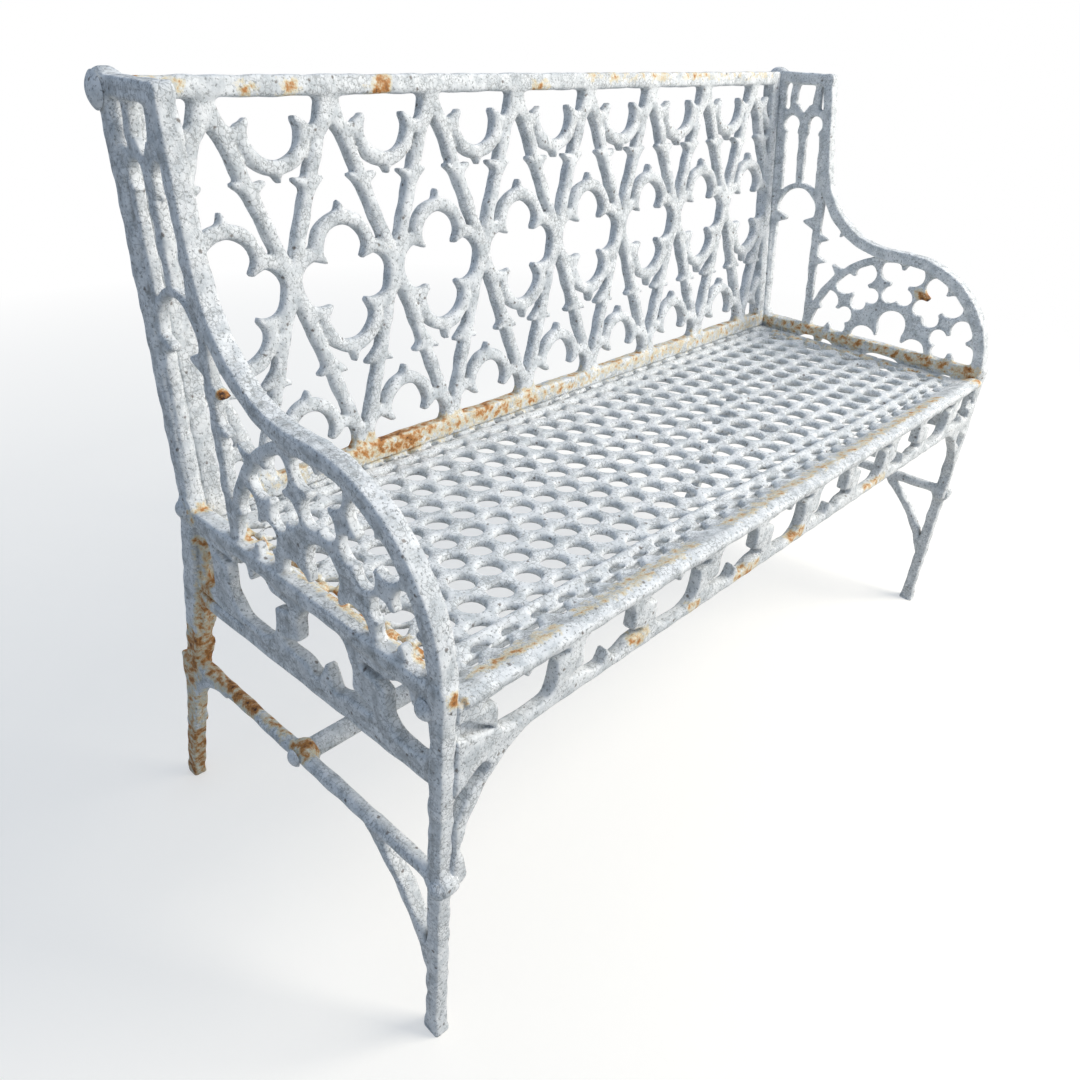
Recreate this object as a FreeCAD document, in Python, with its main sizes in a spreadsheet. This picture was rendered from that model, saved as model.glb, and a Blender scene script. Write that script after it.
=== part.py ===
import FreeCAD, Part
import math
import os

# Cast iron garden bench: two end castings, a pierced back, a pierced seat, a front apron and a long
# stretcher, bolted together. X runs along the bench, Y from front to rear, Z up from the floor.
# Depths in the sheet are measured back from the line of the front legs.

doc = FreeCAD.newDocument("garden_bench")
sheet = doc.addObject("Spreadsheet::Sheet", "Sizes")

SIZES = [
    ("benchLength", 1144, "over the two end castings"),
    ("endThick", 20, "rim, legs and arms of an end casting, along X"),
    ("traceryThick", 12, "pierced webs inside the rim, along X"),
    ("traceryLap", 3, "web run into the rim all round"),
    ("fitGap", 0.3, "clearance between castings, and round each bolt"),
    ("noseFront", -20, "front of the rolled seat edge"),
    ("footSplay", 118, "back of the rear foot behind the post's front"),
    ("armFront", 9, "round arm front ahead of the line of the front legs"),
    ("roseHeight", 430, "centre of the half rose above the floor"),
    ("armRadius", 156, "outside of the round arm front"),
    ("armBand", 17, "width of the arm in its own plane"),
    ("armLevel", 27, "level run on top of the arm"),
    ("neckRadius", 136, "hollow sweep from the arm up to the wing"),
    ("neckSlope", 80, "slope of the wing's front bar, in degrees"),
    ("wingTop", 830, "top of the wing"),
    ("topBar", 17, "bar along the top of the wing"),
    ("postGap", 218, "front of the rear post behind the rose centre, at the foot of the back"),
    ("postWidth", 26, "rear post in its own plane"),
    ("backInset", 19, "middle of the back behind the post's front, at its foot"),
    ("backFootRise", 2, "foot of the back over the rose centre"),
    ("backLean", 7, "lean of the back and the posts, in degrees"),
    ("railRise", 8, "top of the side rail over the rose centre"),
    ("railBand", 17, "height of the side rail"),
    ("sideApronDrop", 116, "underside of the side apron below the rail's top"),
    ("sideApronRail", 15, "lower rail of the side apron"),
    ("sideStretcherTop", 224, "top of the side stretcher"),
    ("sideStretcherBand", 16, "height of the side stretcher"),
    ("legFrontTop", -13, "front of the front leg under the arm"),
    ("legFrontFoot", -8, "front of the front leg at the floor"),
    ("frontLegWidth", 16, "front leg in its own plane"),
    ("rearLegWidth", 28, "rear leg in its own plane"),
    ("rearFootWidth", 20, "rear leg at the floor, in its own plane"),
    ("kneeSplay", 98, "back of the rear leg behind the post's front, where it turns down"),
    ("rearKneeHeight", 100, "height of that turn"),
    ("legTopDrop", 30, "where the rear leg starts to splay, below the rose centre"),
    ("braceReach", 76, "run of the curved brace behind the front leg"),
    ("braceDrop", 102, "drop of that brace down the leg"),
    ("braceBand", 12, "width of the brace"),
    ("rearBraceReach", 88, "run of the gusset before the rear leg"),
    ("rearBraceDrop", 92, "drop of that gusset down the leg"),
    ("legFlange", 16, "flange of the rear leg towards the middle of the bench"),
    ("legFlangeThick", 12, "that flange, front to rear"),
    ("legFlangeFoot", 240, "height where that flange runs out"),
    ("innerBar", 13, "upright bar between the rose and the tall opening"),
    ("tallOpening", 58, "width of the tall round-headed opening"),
    ("tallDrop", 174, "head of the tall opening below the top of the wing"),
    ("lancetFootDrop", 162, "foot of the twin lancets below the top of the wing"),
    ("lancetTopDrop", 64, "points of the twin lancets below the top of the wing"),
    ("lancetWidth", 22, "width of a lancet"),
    ("mullion", 13, "bar between the lancets"),
    ("eyeDrop", 54, "point of the opening over the lancets below the top of the wing"),
    ("petalInnerInset", 70, "inner end of a rose petal inside the arm's outside"),
    ("petalOuterInset", 28, "outer end of a rose petal inside it"),
    ("petalSpoke", 14.6, "clearance of a petal from the middle of the spokes beside it"),
    ("ringInset", 5, "outside of the ring round the rose inside it"),
    ("trefoilSide", 98, "side of the opening at the rose centre inside it"),
    ("trefoilHead", 92, "head of that opening inside it"),
    ("sideCount", 4, "openings in the side apron"),
    ("sideOpening", 62, "width of a side apron opening"),
    ("apronCount", 10, "openings in the front apron"),
    ("openingWidth", 72, "width of an apron opening"),
    ("openingShift", 20, "openings of the front apron to the right of the middle of their scrolls"),
    ("openingRise", 52, "height of an apron opening"),
    ("cuspDrop", 17, "leaf point that reaches into an apron opening"),
    ("apronFront", -14, "front face of the apron"),
    ("apronThick", 14, "apron, front to rear"),
    ("apronTopRise", 3, "top of the apron over the seat, under the rolled edge"),
    ("apronHeight", 68, "apron, without its brackets"),
    ("apronRail", 11, "lower rail of the apron"),
    ("bracketReach", 97, "run of the apron bracket along X"),
    ("bracketFoot", 203, "lower end of the bracket"),
    ("bracketBand", 13, "width of the bracket"),
    ("bracketFlange", 10, "flange of the bracket against the leg"),
    ("seatDrop", 15, "top of the seat plate below the rose centre"),
    ("seatThick", 12, "seat plate"),
    ("seatTuck", 20, "rear edge of the seat behind the post's front"),
    ("noseRise", 10, "crest of the rolled edge over the seat"),
    ("noseRear", 18, "rear of the rolled edge"),
    ("holePitch", 37.6, "spacing of the seat holes along a row"),
    ("holeRow", 33.4, "spacing of the rows"),
    ("holeDia", 25, "seat hole"),
    ("holeRows", 8, "rows of whole holes"),
    ("firstRow", 84, "first row from the front"),
    ("seatMargin", 45, "unpierced border at each end of the seat"),
    ("borderBar", 4, "zigzag bar in the seat's front border"),
    ("borderWide", 21, "border opening at its wide side"),
    ("borderNarrow", 9, "border opening at its narrow side"),
    ("borderStart", 19.5, "front of the seat's front border"),
    ("borderStop", 41, "rear of the seat's front border"),
    ("ledgeWidth", 16, "seat lugs on the end casting, along X"),
    ("ledgeThick", 10, "seat lugs, height"),
    ("ledgeFront", 74, "front end of the front lug"),
    ("ledgeStop", 35, "bolt of the rear lug ahead of the post's front"),
    ("ledgeBoltInset", 16, "bolt from the front end of its lug"),
    ("backTopDrop", 3, "top of the back below the top of the wing, along its slope"),
    ("backThick", 14, "bars of the back"),
    ("backRailThick", 20, "top and bottom rails of the back"),
    ("topRail", 22, "height of the top rail"),
    ("footRail", 13, "rise of the bottom rail over the back's foot"),
    ("footDrop", 12, "drop of the bottom rail below it"),
    ("backColumns", 8, "four-lobed rings along the back"),
    ("backEndMargin", 4, "last bar crossing from the end of the back"),
    ("backBorder", 24, "upright border at each end of the back"),
    ("barHalf", 8, "half width of a crossed bar"),
    ("topNodeDrop", 13, "where bars meet at the top rail, below the back's top"),
    ("crossRise", 5, "where bars cross, over the middle of their ends"),
    ("footNode", 15, "where bars meet at the bottom rail"),
    ("foilDrop", 12, "middle of the four-lobed ring below the bars' crossing"),
    ("foilHalf", 56, "half width of its hole"),
    ("foilRise", 57, "half height of its hole"),
    ("foilCusp", 26, "cusp from the middle, both ways"),
    ("ringTip", 83, "outer point of the ring from its middle"),
    ("ringShoulder", 49, "shoulder of the ring from its middle"),
    ("cupDrop", 76, "inside of the cup below the back's top"),
    ("cupBand", 18, "cup below its inside, to the point"),
    ("archTop", 74, "inside of the arch on the bottom rail"),
    ("archBand", 20, "arch above its inside, to the point"),
    ("cuspHalf", 28, "half spread of the cusps of a cup or arch"),
    ("stretcherDia", 22, "long stretcher"),
    ("stretcherDepth", 210, "its middle, back from the front legs"),
    ("stretcherDrop", 8, "its middle below the top of the side stretchers"),
    ("bossDia", 26, "boss round a bolt on an end casting"),
    ("bossProud", 2, "boss beyond the rim, each side"),
    ("knobBossDia", 40, "boss at the top rear corner"),
    ("boltDia", 8, "all bolts"),
    ("boltGrip", 22, "bolt into the casting it holds"),
    ("boltHeadDia", 20, "round bolt head"),
    ("boltHeadRise", 6, "rise of a round bolt head"),
    ("knobHeadDia", 32, "round head at the top rear corner"),
    ("ledgeGrip", 8, "lug bolt into the seat"),
    ("hexHeadRise", 6, "head of a lug bolt"),
    ("washerDia", 16, "washer under a lug bolt's head"),
    ("washerThick", 2, "washer"),
    ("cornerBoltDepth", 9, "bolt at the front corner of the seat"),
    ("cornerBoltDrop", 4, "that bolt below the seat's top"),
]

DERIVED = [
    ("roseDepth", "=armRadius - armFront", "centre of the half rose under the arm"),
    ("postFoot", "=roseDepth + postGap", "front of the rear post at the foot of the back"),
    ("backDepth", "=postFoot + backInset", "middle of the back at its foot"),
    ("rearKneeDepth", "=postFoot + kneeSplay", "back of the rear leg where it turns down"),
    ("rearFootBack", "=postFoot + footSplay", "back of the rear foot"),
    ("seatRear", "=postFoot + seatTuck", "rear edge of the seat"),
    ("ledgeRear", "=postFoot - ledgeStop", "bolt of the rear lug"),
    ("petalInner", "=armRadius - petalInnerInset", "inner end of a petal from the rose centre"),
    ("petalOuter", "=armRadius - petalOuterInset", "outer end of a petal from the rose centre"),
    ("petalHalf", "=petalOuter * tan(18 deg) - petalSpoke", "half width of a petal at its outer end"),
    ("roseRing", "=armRadius - ringInset", "outside of the ring round the rose"),
    ("trefoilHalf", "=armRadius - trefoilSide", "half width of the opening at the rose centre"),
    ("trefoilRise", "=armRadius - trefoilHead", "its rise over the rose centre"),
    ("railTop", "=roseHeight + railRise", "top of the side rail"),
    ("sideApronFoot", "=railTop - sideApronDrop", "underside of the side apron"),
    ("rearLegTop", "=roseHeight - legTopDrop", "where the rear leg starts to splay"),
    ("seatTop", "=roseHeight - seatDrop", "top of the seat plate"),
    ("noseTop", "=seatTop + noseRise", "crest of the rolled edge"),
    ("apronTop", "=seatTop + apronTopRise", "top of the front apron"),
    ("apronFoot", "=apronTop - apronHeight", "underside of the front apron"),
    ("cornerBoltHeight", "=seatTop - cornerBoltDrop", "bolt at the front corner of the seat"),
    ("braceBoltHeight", "=bracketFoot + bossDia / 2", "bolt at the foot of the apron bracket"),
    ("stretcherHeight", "=sideStretcherTop - stretcherDrop", "middle of the long stretcher"),
    ("tallTop", "=wingTop - tallDrop", "head of the tall opening"),
    ("lancetFoot", "=wingTop - lancetFootDrop", "foot of the twin lancets"),
    ("lancetTop", "=wingTop - lancetTopDrop", "points of the twin lancets"),
    ("eyeFoot", "=wingTop - eyeDrop", "point of the opening over the lancets"),
    ("backFoot", "=roseHeight + backFootRise", "foot of the back"),
    ("backHeight", "=(wingTop - backFoot) / cos(backLean * 1 deg) - backTopDrop", "back along its slope"),
    ("topNode", "=backHeight - topNodeDrop", "where bars meet at the top rail"),
    ("crossNode", "=(topNode + footNode) / 2 + crossRise", "where bars cross"),
    ("foilCentre", "=crossNode - foilDrop", "middle of the four-lobed ring"),
    ("cupFoot", "=backHeight - cupDrop", "inside of the cup under the top rail"),
]

for row, (alias, value, note) in enumerate(SIZES + DERIVED, 1):
    sheet.set("A%d" % row, note)
    sheet.set("B%d" % row, str(value))
    sheet.setAlias("B%d" % row, alias)
doc.recompute()

S = {alias: float(sheet.get(alias)) for alias, value, note in SIZES + DERIVED}

# Shares of a length: how far a curve bows, and where its cusps sit
FRONT_BRACE_BOW = 0.4
REAR_BRACE_BOW = 0.29
BRACE_GAP_DROP = 0.5
BRACE_GAP_INSET = 2
BRACE_GAP_BOW = 0.42
PETAL_ANGLES = {24: 0.75, 55: 1, 90: 1, 125: 1, 156: 0.75}
PETAL_INNER_LOBE = 0.6
PETAL_WAIST = 0.55
TREFOIL_LOBE = 0.8
TREFOIL_CUSP = 0.42
TALL_SPRING = 1.1
TALL_CUSP = 0.85
TALL_REACH = 0.22
TALL_LOBE = (1.9, 1.6)
LANCET_HAUNCH = 0.4
EYE_HALF = 0.64
SPANDREL_FOOT = 0.36
SPANDREL_TIP = 0.47
SPANDREL_BOW = 42
HOLE_SAG = 0.45
BRACKET_BOW = (0.72, 0.35)
HOLLOW_START = 2.4
HOLLOW_BOW = 0.72
HEX_SHARE = 0.95

# The box of the bench is centred on the origin, so depths shift by the middle of front and rear.
mid_depth = (S["noseFront"] + S["rearFootBack"]) / 2
outer_x = S["benchLength"] / 2
inner_x = outer_x - S["endThick"]
piece_x = inner_x - S["fitGap"]
lean = math.radians(S["backLean"])
X_AXIS = FreeCAD.Vector(1, 0, 0)
Y_AXIS = FreeCAD.Vector(0, 1, 0)
Z_AXIS = FreeCAD.Vector(0, 0, 1)


def side_view(depth, height):
    return FreeCAD.Vector(0, depth - mid_depth, height)


def front_view(along, height):
    return FreeCAD.Vector(along, 0, height)


def top_view(along, depth):
    return FreeCAD.Vector(along, depth - mid_depth, 0)


def outline(corners, view):
    # A corner is a pair; one with a third value bends the edge between its neighbours into an arc.
    points = [(view(corner[0], corner[1]), len(corner) > 2) for corner in corners]
    edges = []
    for index, (point, bends) in enumerate(points):
        if bends:
            continue
        following, following_bends = points[(index + 1) % len(points)]
        if following_bends:
            end = points[(index + 2) % len(points)][0]
            edges.append(Part.Arc(point, following, end).toShape())
        else:
            edges.append(Part.LineSegment(point, following).toShape())
    return Part.Wire(edges)


def plate(outer, holes, view, sweep):
    wires = [outline(corners, view) for corners in [outer] + holes]
    return Part.makeFace(wires, "Part::FaceMakerBullseye").extrude(sweep)


def polar(centre, radius, degrees):
    angle = math.radians(degrees)
    return (centre[0] + radius * math.cos(angle), centre[1] + radius * math.sin(angle))


def bend(point):
    return (point[0], point[1], 1)


def cross_rod(radius, start, length, depth, height):
    # A rod along X, used for bosses and bolt holes.
    base = FreeCAD.Vector(start, depth - mid_depth, height)
    return Part.makeCylinder(radius, length, base, X_AXIS)


# Lines of the end casting that several outlines share

rose = (S["roseDepth"], S["roseHeight"])
neck = (rose[0] + S["armLevel"], rose[1] + S["armRadius"] + S["neckRadius"])
neck_end = S["neckSlope"] - 90


def post_front(height):
    return S["postFoot"] + (height - S["backFoot"]) * math.tan(lean)


def wing_front(height, band):
    end = polar(neck, S["neckRadius"] + band, neck_end)
    return end[0] + (height - end[1]) / math.tan(math.radians(S["neckSlope"]))


def rear_leg_back(height):
    top = S["postFoot"] + S["postWidth"]
    fall = (S["rearLegTop"] - height) / (S["rearLegTop"] - S["rearKneeHeight"])
    return top + (S["rearKneeDepth"] - top) * fall


def front_leg_rear(height):
    front = S["legFrontFoot"] + (S["legFrontTop"] - S["legFrontFoot"]) * height / S["rearLegTop"]
    return front + S["frontLegWidth"]


def arm_edge(band):
    # The arm's line, this far inside its outer edge, from the round front to the wing's front bar.
    round_front = S["armRadius"] - band
    hollow = S["neckRadius"] + band
    return [
        bend(polar(rose, round_front, 135)),
        polar(rose, round_front, 90),
        polar(neck, hollow, -90),
        bend(polar(neck, hollow, (neck_end - 90) / 2)),
        polar(neck, hollow, neck_end),
    ]


def arm_opening(lap):
    # Everything inside the arm, the wing, the post and the side rail, grown by the lap.
    band = S["armBand"] - lap
    floor = S["railTop"] - lap
    roof = S["wingTop"] - S["topBar"] + lap
    rise = math.asin((floor - rose[1]) / (S["armRadius"] - band))
    start = polar(rose, S["armRadius"] - band, 180 - math.degrees(rise))
    return [start] + arm_edge(band) + [
        (wing_front(roof, band), roof),
        (post_front(roof) + lap, roof),
        (post_front(floor) + lap, floor),
    ]


def side_apron_opening(lap):
    top = S["railTop"] - S["railBand"] + lap
    foot = S["sideApronFoot"] + S["sideApronRail"] - lap
    return [
        (front_leg_rear(foot) - lap, foot),
        (front_leg_rear(top) - lap, top),
        (rear_leg_back(top) - S["rearLegWidth"] + lap, top),
        (rear_leg_back(foot) - S["rearLegWidth"] + lap, foot),
    ]


def end_outline():
    knee = S["rearKneeHeight"]
    stretcher_foot = S["sideStretcherTop"] - S["sideStretcherBand"]
    leg_front = rear_leg_back(knee) - S["rearLegWidth"]
    brace_foot = stretcher_foot - S["braceDrop"]
    brace_root = front_leg_rear(brace_foot)
    gusset_foot = stretcher_foot - S["rearBraceDrop"]
    gusset_root = rear_leg_back(gusset_foot) - S["rearLegWidth"]
    top_rear = post_front(S["wingTop"]) + S["postWidth"]
    return [
        (S["legFrontFoot"], 0),
        (S["legFrontTop"], S["rearLegTop"]),
        polar(rose, S["armRadius"], 180),
    ] + arm_edge(0) + [
        (wing_front(S["wingTop"], 0), S["wingTop"]),
        (top_rear, S["wingTop"]),
        (S["postFoot"] + S["postWidth"], S["backFoot"]),
        (rear_leg_back(S["rearLegTop"]), S["rearLegTop"]),
        (S["rearKneeDepth"], knee),
        (S["rearFootBack"], 0),
        (S["rearFootBack"] - S["rearFootWidth"], 0),
        (leg_front, knee),
        (gusset_root, gusset_foot),
        bend((gusset_root - S["rearBraceReach"] * REAR_BRACE_BOW,
              stretcher_foot - S["rearBraceDrop"] * REAR_BRACE_BOW)),
        (gusset_root - S["rearBraceReach"], stretcher_foot),
        (brace_root + S["braceReach"], stretcher_foot),
        bend((brace_root + S["braceReach"] * FRONT_BRACE_BOW,
              stretcher_foot - S["braceDrop"] * FRONT_BRACE_BOW)),
        (brace_root, brace_foot),
        (S["legFrontFoot"] + S["frontLegWidth"], 0),
    ]


def leg_gap():
    # The open space between the side apron and the side stretcher.
    top = S["sideApronFoot"]
    foot = S["sideStretcherTop"]
    return [
        (front_leg_rear(foot), foot),
        (front_leg_rear(top), top),
        (rear_leg_back(top) - S["rearLegWidth"], top),
        (rear_leg_back(foot) - S["rearLegWidth"], foot),
    ]


def brace_gap():
    # The small three-cornered space between the front leg, the side stretcher and the brace.
    roof = S["sideStretcherTop"] - S["sideStretcherBand"]
    drop = S["braceDrop"] * BRACE_GAP_DROP
    root = front_leg_rear(roof - drop)
    reach = S["braceReach"] - S["braceBand"] * BRACE_GAP_INSET
    top = front_leg_rear(roof)
    return [(top, roof), (top + reach, roof),
            bend((root + reach * BRACE_GAP_BOW, roof - drop * BRACE_GAP_BOW)), (root, roof - drop)]


def petal(angle, narrow):
    # A four-lobed opening between two spokes of the rose: arcs that meet in four cusps.
    inner = S["petalInner"]
    outer = S["petalOuter"]
    middle = (inner + outer) / 2
    half = S["petalHalf"] * narrow
    lobe = S["braceBand"] / 4

    def spot(radius, aside):
        return polar(rose, math.hypot(radius, aside), angle + math.degrees(math.atan2(aside, radius)))

    return [
        spot(inner, 0),
        bend(spot(inner - lobe / 2, half * PETAL_INNER_LOBE)),
        spot(middle, half * PETAL_WAIST),
        bend(spot(outer + lobe / 2, half)),
        spot(outer, 0),
        bend(spot(outer + lobe / 2, -half)),
        spot(middle, -half * PETAL_WAIST),
        bend(spot(inner - lobe / 2, -half * PETAL_INNER_LOBE)),
    ]


def trefoil():
    half = S["trefoilHalf"]
    foot = S["railTop"] + S["traceryLap"]
    cusp = (rose[1] + S["trefoilRise"] + foot) / 2 - S["traceryLap"] * 4
    return [
        (rose[0] - half, foot),
        bend((rose[0] - half * TREFOIL_LOBE, cusp + S["traceryLap"])),
        (rose[0] - half * TREFOIL_CUSP, cusp),
        bend((rose[0], rose[1] + S["trefoilRise"])),
        (rose[0] + half * TREFOIL_CUSP, cusp),
        bend((rose[0] + half * TREFOIL_LOBE, cusp + S["traceryLap"])),
        (rose[0] + half, foot),
    ]


def tall_rear(height):
    return post_front(height) - S["traceryLap"]


def tall_front(height):
    return tall_rear(height) - S["tallOpening"]


def tall_opening():
    foot = S["railTop"] + S["traceryLap"]
    top = S["tallTop"]
    spring = top - S["tallOpening"] * TALL_SPRING
    cusp = top - S["tallOpening"] * TALL_CUSP
    middle = (tall_front(top) + tall_rear(top)) / 2
    reach = S["tallOpening"] * TALL_REACH
    return [
        (tall_front(foot), foot),
        (tall_front(spring), spring),
        (middle - reach, cusp),
        bend((middle - reach * TALL_LOBE[0], top - reach * TALL_LOBE[1])),
        (middle, top),
        bend((middle + reach * TALL_LOBE[0], top - reach * TALL_LOBE[1])),
        (middle + reach, cusp),
        (tall_rear(spring), spring),
        (tall_rear(foot), foot),
    ]


def lancet(aside):
    # A pointed opening that leans with the post; aside is its middle forward of the post.
    width = S["lancetWidth"]
    spring = S["lancetTop"] - width

    def across(height, share):
        return (post_front(height) - aside + width * share, height)

    head = S["lancetTop"]
    haunch = (spring + head) / 2
    foot = S["lancetFoot"]
    return [across(foot, -0.5), across(spring, -0.5), bend(across(haunch, -LANCET_HAUNCH)), across(head, 0),
            bend(across(haunch, LANCET_HAUNCH)), across(spring, 0.5), across(foot, 0.5)]


def eye_opening():
    roof = S["wingTop"] - S["topBar"] - S["traceryLap"]
    middle = S["traceryLap"] * 2 + S["lancetWidth"] + S["mullion"] / 2
    half = S["lancetWidth"] * EYE_HALF
    waist = S["eyeFoot"] + half

    def across(height, aside):
        return (post_front(height) - middle + aside, height)

    return [across(S["eyeFoot"], 0), across(waist, half), across(roof, half), across(roof, -half),
            across(waist, -half)]


def spandrel():
    # The curved triangle between the arm, the rose's ring and the upright inner bar.
    band = S["armBand"] + S["traceryLap"]
    hollow = S["neckRadius"] + band
    ring = S["roseRing"] + S["traceryLap"] / 2
    bar = S["innerBar"] + S["traceryLap"]

    def arm_point(depth):
        return (depth, neck[1] - math.sqrt(hollow ** 2 - (depth - neck[0]) ** 2))

    foot = rose[1] + ring * SPANDREL_FOOT
    heel = tall_front(foot) - bar
    crown = heel + S["innerBar"]
    tip = rose[0] + ring * SPANDREL_TIP
    start = (tip, arm_point(tip)[1] - S["traceryLap"] / 2)
    return [
        start,
        bend(arm_point((tip + crown) / 2)),
        arm_point(crown),
        (heel, foot),
        bend(polar(rose, ring, SPANDREL_BOW)),
    ]


def cusped_hole(left, right, foot, top, cusp_up):
    # An opening with one round end and a leaf point between two lobes at the other end.
    middle = (left + right) / 2
    lobe = (right - left) / 4
    sag = min(lobe * 2, (top - foot) * HOLE_SAG)

    def level(rise):
        return top - rise if cusp_up else foot + rise

    far = level(top - foot)
    spring = level(top - foot - S["cuspDrop"])
    return [(left, level(sag)), bend((middle, level(0))), (right, level(sag)), (right, spring),
            bend((middle + lobe, far)), (middle, spring), bend((middle - lobe, far)), (left, spring)]


def side_apron_holes():
    # Evenly spread between the two legs.
    foot = S["sideApronFoot"] + S["sideApronRail"] + S["traceryLap"]
    top = S["railTop"] - S["railBand"] - S["traceryLap"]
    half = S["sideOpening"] / 2
    first = front_leg_rear(foot) + S["traceryLap"] + half
    last = rear_leg_back(top) - S["rearLegWidth"] - S["traceryLap"] - half
    pitch = (last - first) / (S["sideCount"] - 1)
    holes = []
    for index in range(int(S["sideCount"])):
        middle = first + pitch * index
        holes.append(cusped_hole(middle - half, middle + half, foot, top, index % 2 == 1))
    return holes


def bolt_hole(depth, height):
    # Right through one end casting, with clearance round the bolt.
    radius = S["boltDia"] / 2 + S["fitGap"]
    return cross_rod(radius, inner_x - S["boltGrip"], S["endThick"] + 2 * S["boltGrip"], depth, height)


back_top_depth = S["backDepth"] + (S["backHeight"] - S["topRail"] / 2) * math.sin(lean)
back_top_height = S["backFoot"] + (S["backHeight"] - S["topRail"] / 2) * math.cos(lean)
brace_bolt_depth = S["apronFront"] + S["apronThick"] / 2

BOLT_SPOTS = {
    "back_top_bolt": (back_top_depth, back_top_height, S["knobBossDia"]),
    "back_foot_bolt": (S["backDepth"], S["backFoot"], S["bossDia"]),
    "seat_front_bolt": (S["cornerBoltDepth"], S["cornerBoltHeight"], S["bossDia"]),
    "apron_foot_bolt": (brace_bolt_depth, S["braceBoltHeight"], S["bossDia"]),
    "stretcher_bolt": (S["stretcherDepth"], S["stretcherHeight"], S["bossDia"]),
}

ledge_spots = [S["ledgeFront"] + S["ledgeBoltInset"], S["ledgeRear"]]
ledge_top = S["seatTop"] - S["seatThick"]
ledge_bolt_x = inner_x - S["ledgeWidth"] / 2


def leg_flange():
    # A tapering flange on the inner side of the rear leg, under the seat.
    top = ledge_top
    foot = S["legFlangeFoot"]

    def along(height):
        return rear_leg_back(height) - S["rearLegWidth"]

    sheet_edge = [(along(foot), foot), (along(top), top), (along(top) + S["legFlangeThick"], top),
                  (along(foot) + S["legFlangeThick"], foot)]
    flange = plate(sheet_edge, [], side_view, X_AXIS * (S["legFlange"] + S["endThick"] / 2))
    flange.translate(X_AXIS * (inner_x - S["legFlange"]))
    edge = inner_x - S["legFlange"]
    taper = outline([(edge, foot), (edge, (top + foot) / 2), (inner_x, foot)], front_view)
    corner = Part.Face(taper).extrude(Y_AXIS * S["rearFootBack"])
    corner.translate(Y_AXIS * -mid_depth)
    return flange.cut(corner)


def end_casting():
    sweep = X_AXIS * S["endThick"]
    rim = plate(end_outline(), [arm_opening(0), side_apron_opening(0), leg_gap(), brace_gap()],
                side_view, sweep)
    rim.translate(X_AXIS * inner_x)
    rear_lancet = S["traceryLap"] * 2 + S["lancetWidth"] / 2
    front_lancet = rear_lancet + S["lancetWidth"] + S["mullion"]
    petals = [petal(angle, narrow) for angle, narrow in PETAL_ANGLES.items()]
    openings = petals + [trefoil(), tall_opening(), lancet(rear_lancet), lancet(front_lancet),
                         eye_opening(), spandrel()]
    web_sweep = X_AXIS * S["traceryThick"]
    web_x = X_AXIS * (inner_x + (S["endThick"] - S["traceryThick"]) / 2)
    arm_web = plate(arm_opening(S["traceryLap"]), openings, side_view, web_sweep)
    arm_web.translate(web_x)
    apron_web = plate(side_apron_opening(S["traceryLap"]), side_apron_holes(), side_view, web_sweep)
    apron_web.translate(web_x)
    pieces = [arm_web, apron_web]
    for depth, height, boss in BOLT_SPOTS.values():
        pieces.append(cross_rod(boss / 2, inner_x, S["endThick"] + S["bossProud"], depth, height))
    # Two lugs carry the seat, the front one on a bar of the side apron and the rear one on the rear leg.
    lug_reach = S["ledgeWidth"] + S["endThick"] / 2
    lug_ends = [ledge_spots[0] + S["ledgeBoltInset"], rear_leg_back(ledge_top) - S["rearLegWidth"] / 2]
    for spot, lug_end in zip(ledge_spots, lug_ends):
        lug_start = spot - S["ledgeBoltInset"]
        corner = FreeCAD.Vector(inner_x - S["ledgeWidth"], lug_start - mid_depth, ledge_top - S["ledgeThick"])
        pieces.append(Part.makeBox(lug_reach, lug_end - lug_start, S["ledgeThick"], corner))
    pieces.append(leg_flange())
    casting = rim.fuse(pieces)
    holes = [bolt_hole(depth, height) for depth, height, boss in BOLT_SPOTS.values()]
    for depth in ledge_spots:
        base = FreeCAD.Vector(ledge_bolt_x, depth - mid_depth, ledge_top - 2 * S["ledgeThick"])
        radius = S["boltDia"] / 2 + S["fitGap"]
        holes.append(Part.makeCylinder(radius, 3 * S["ledgeThick"], base, Z_AXIS))
    return casting.cut(holes)


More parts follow.
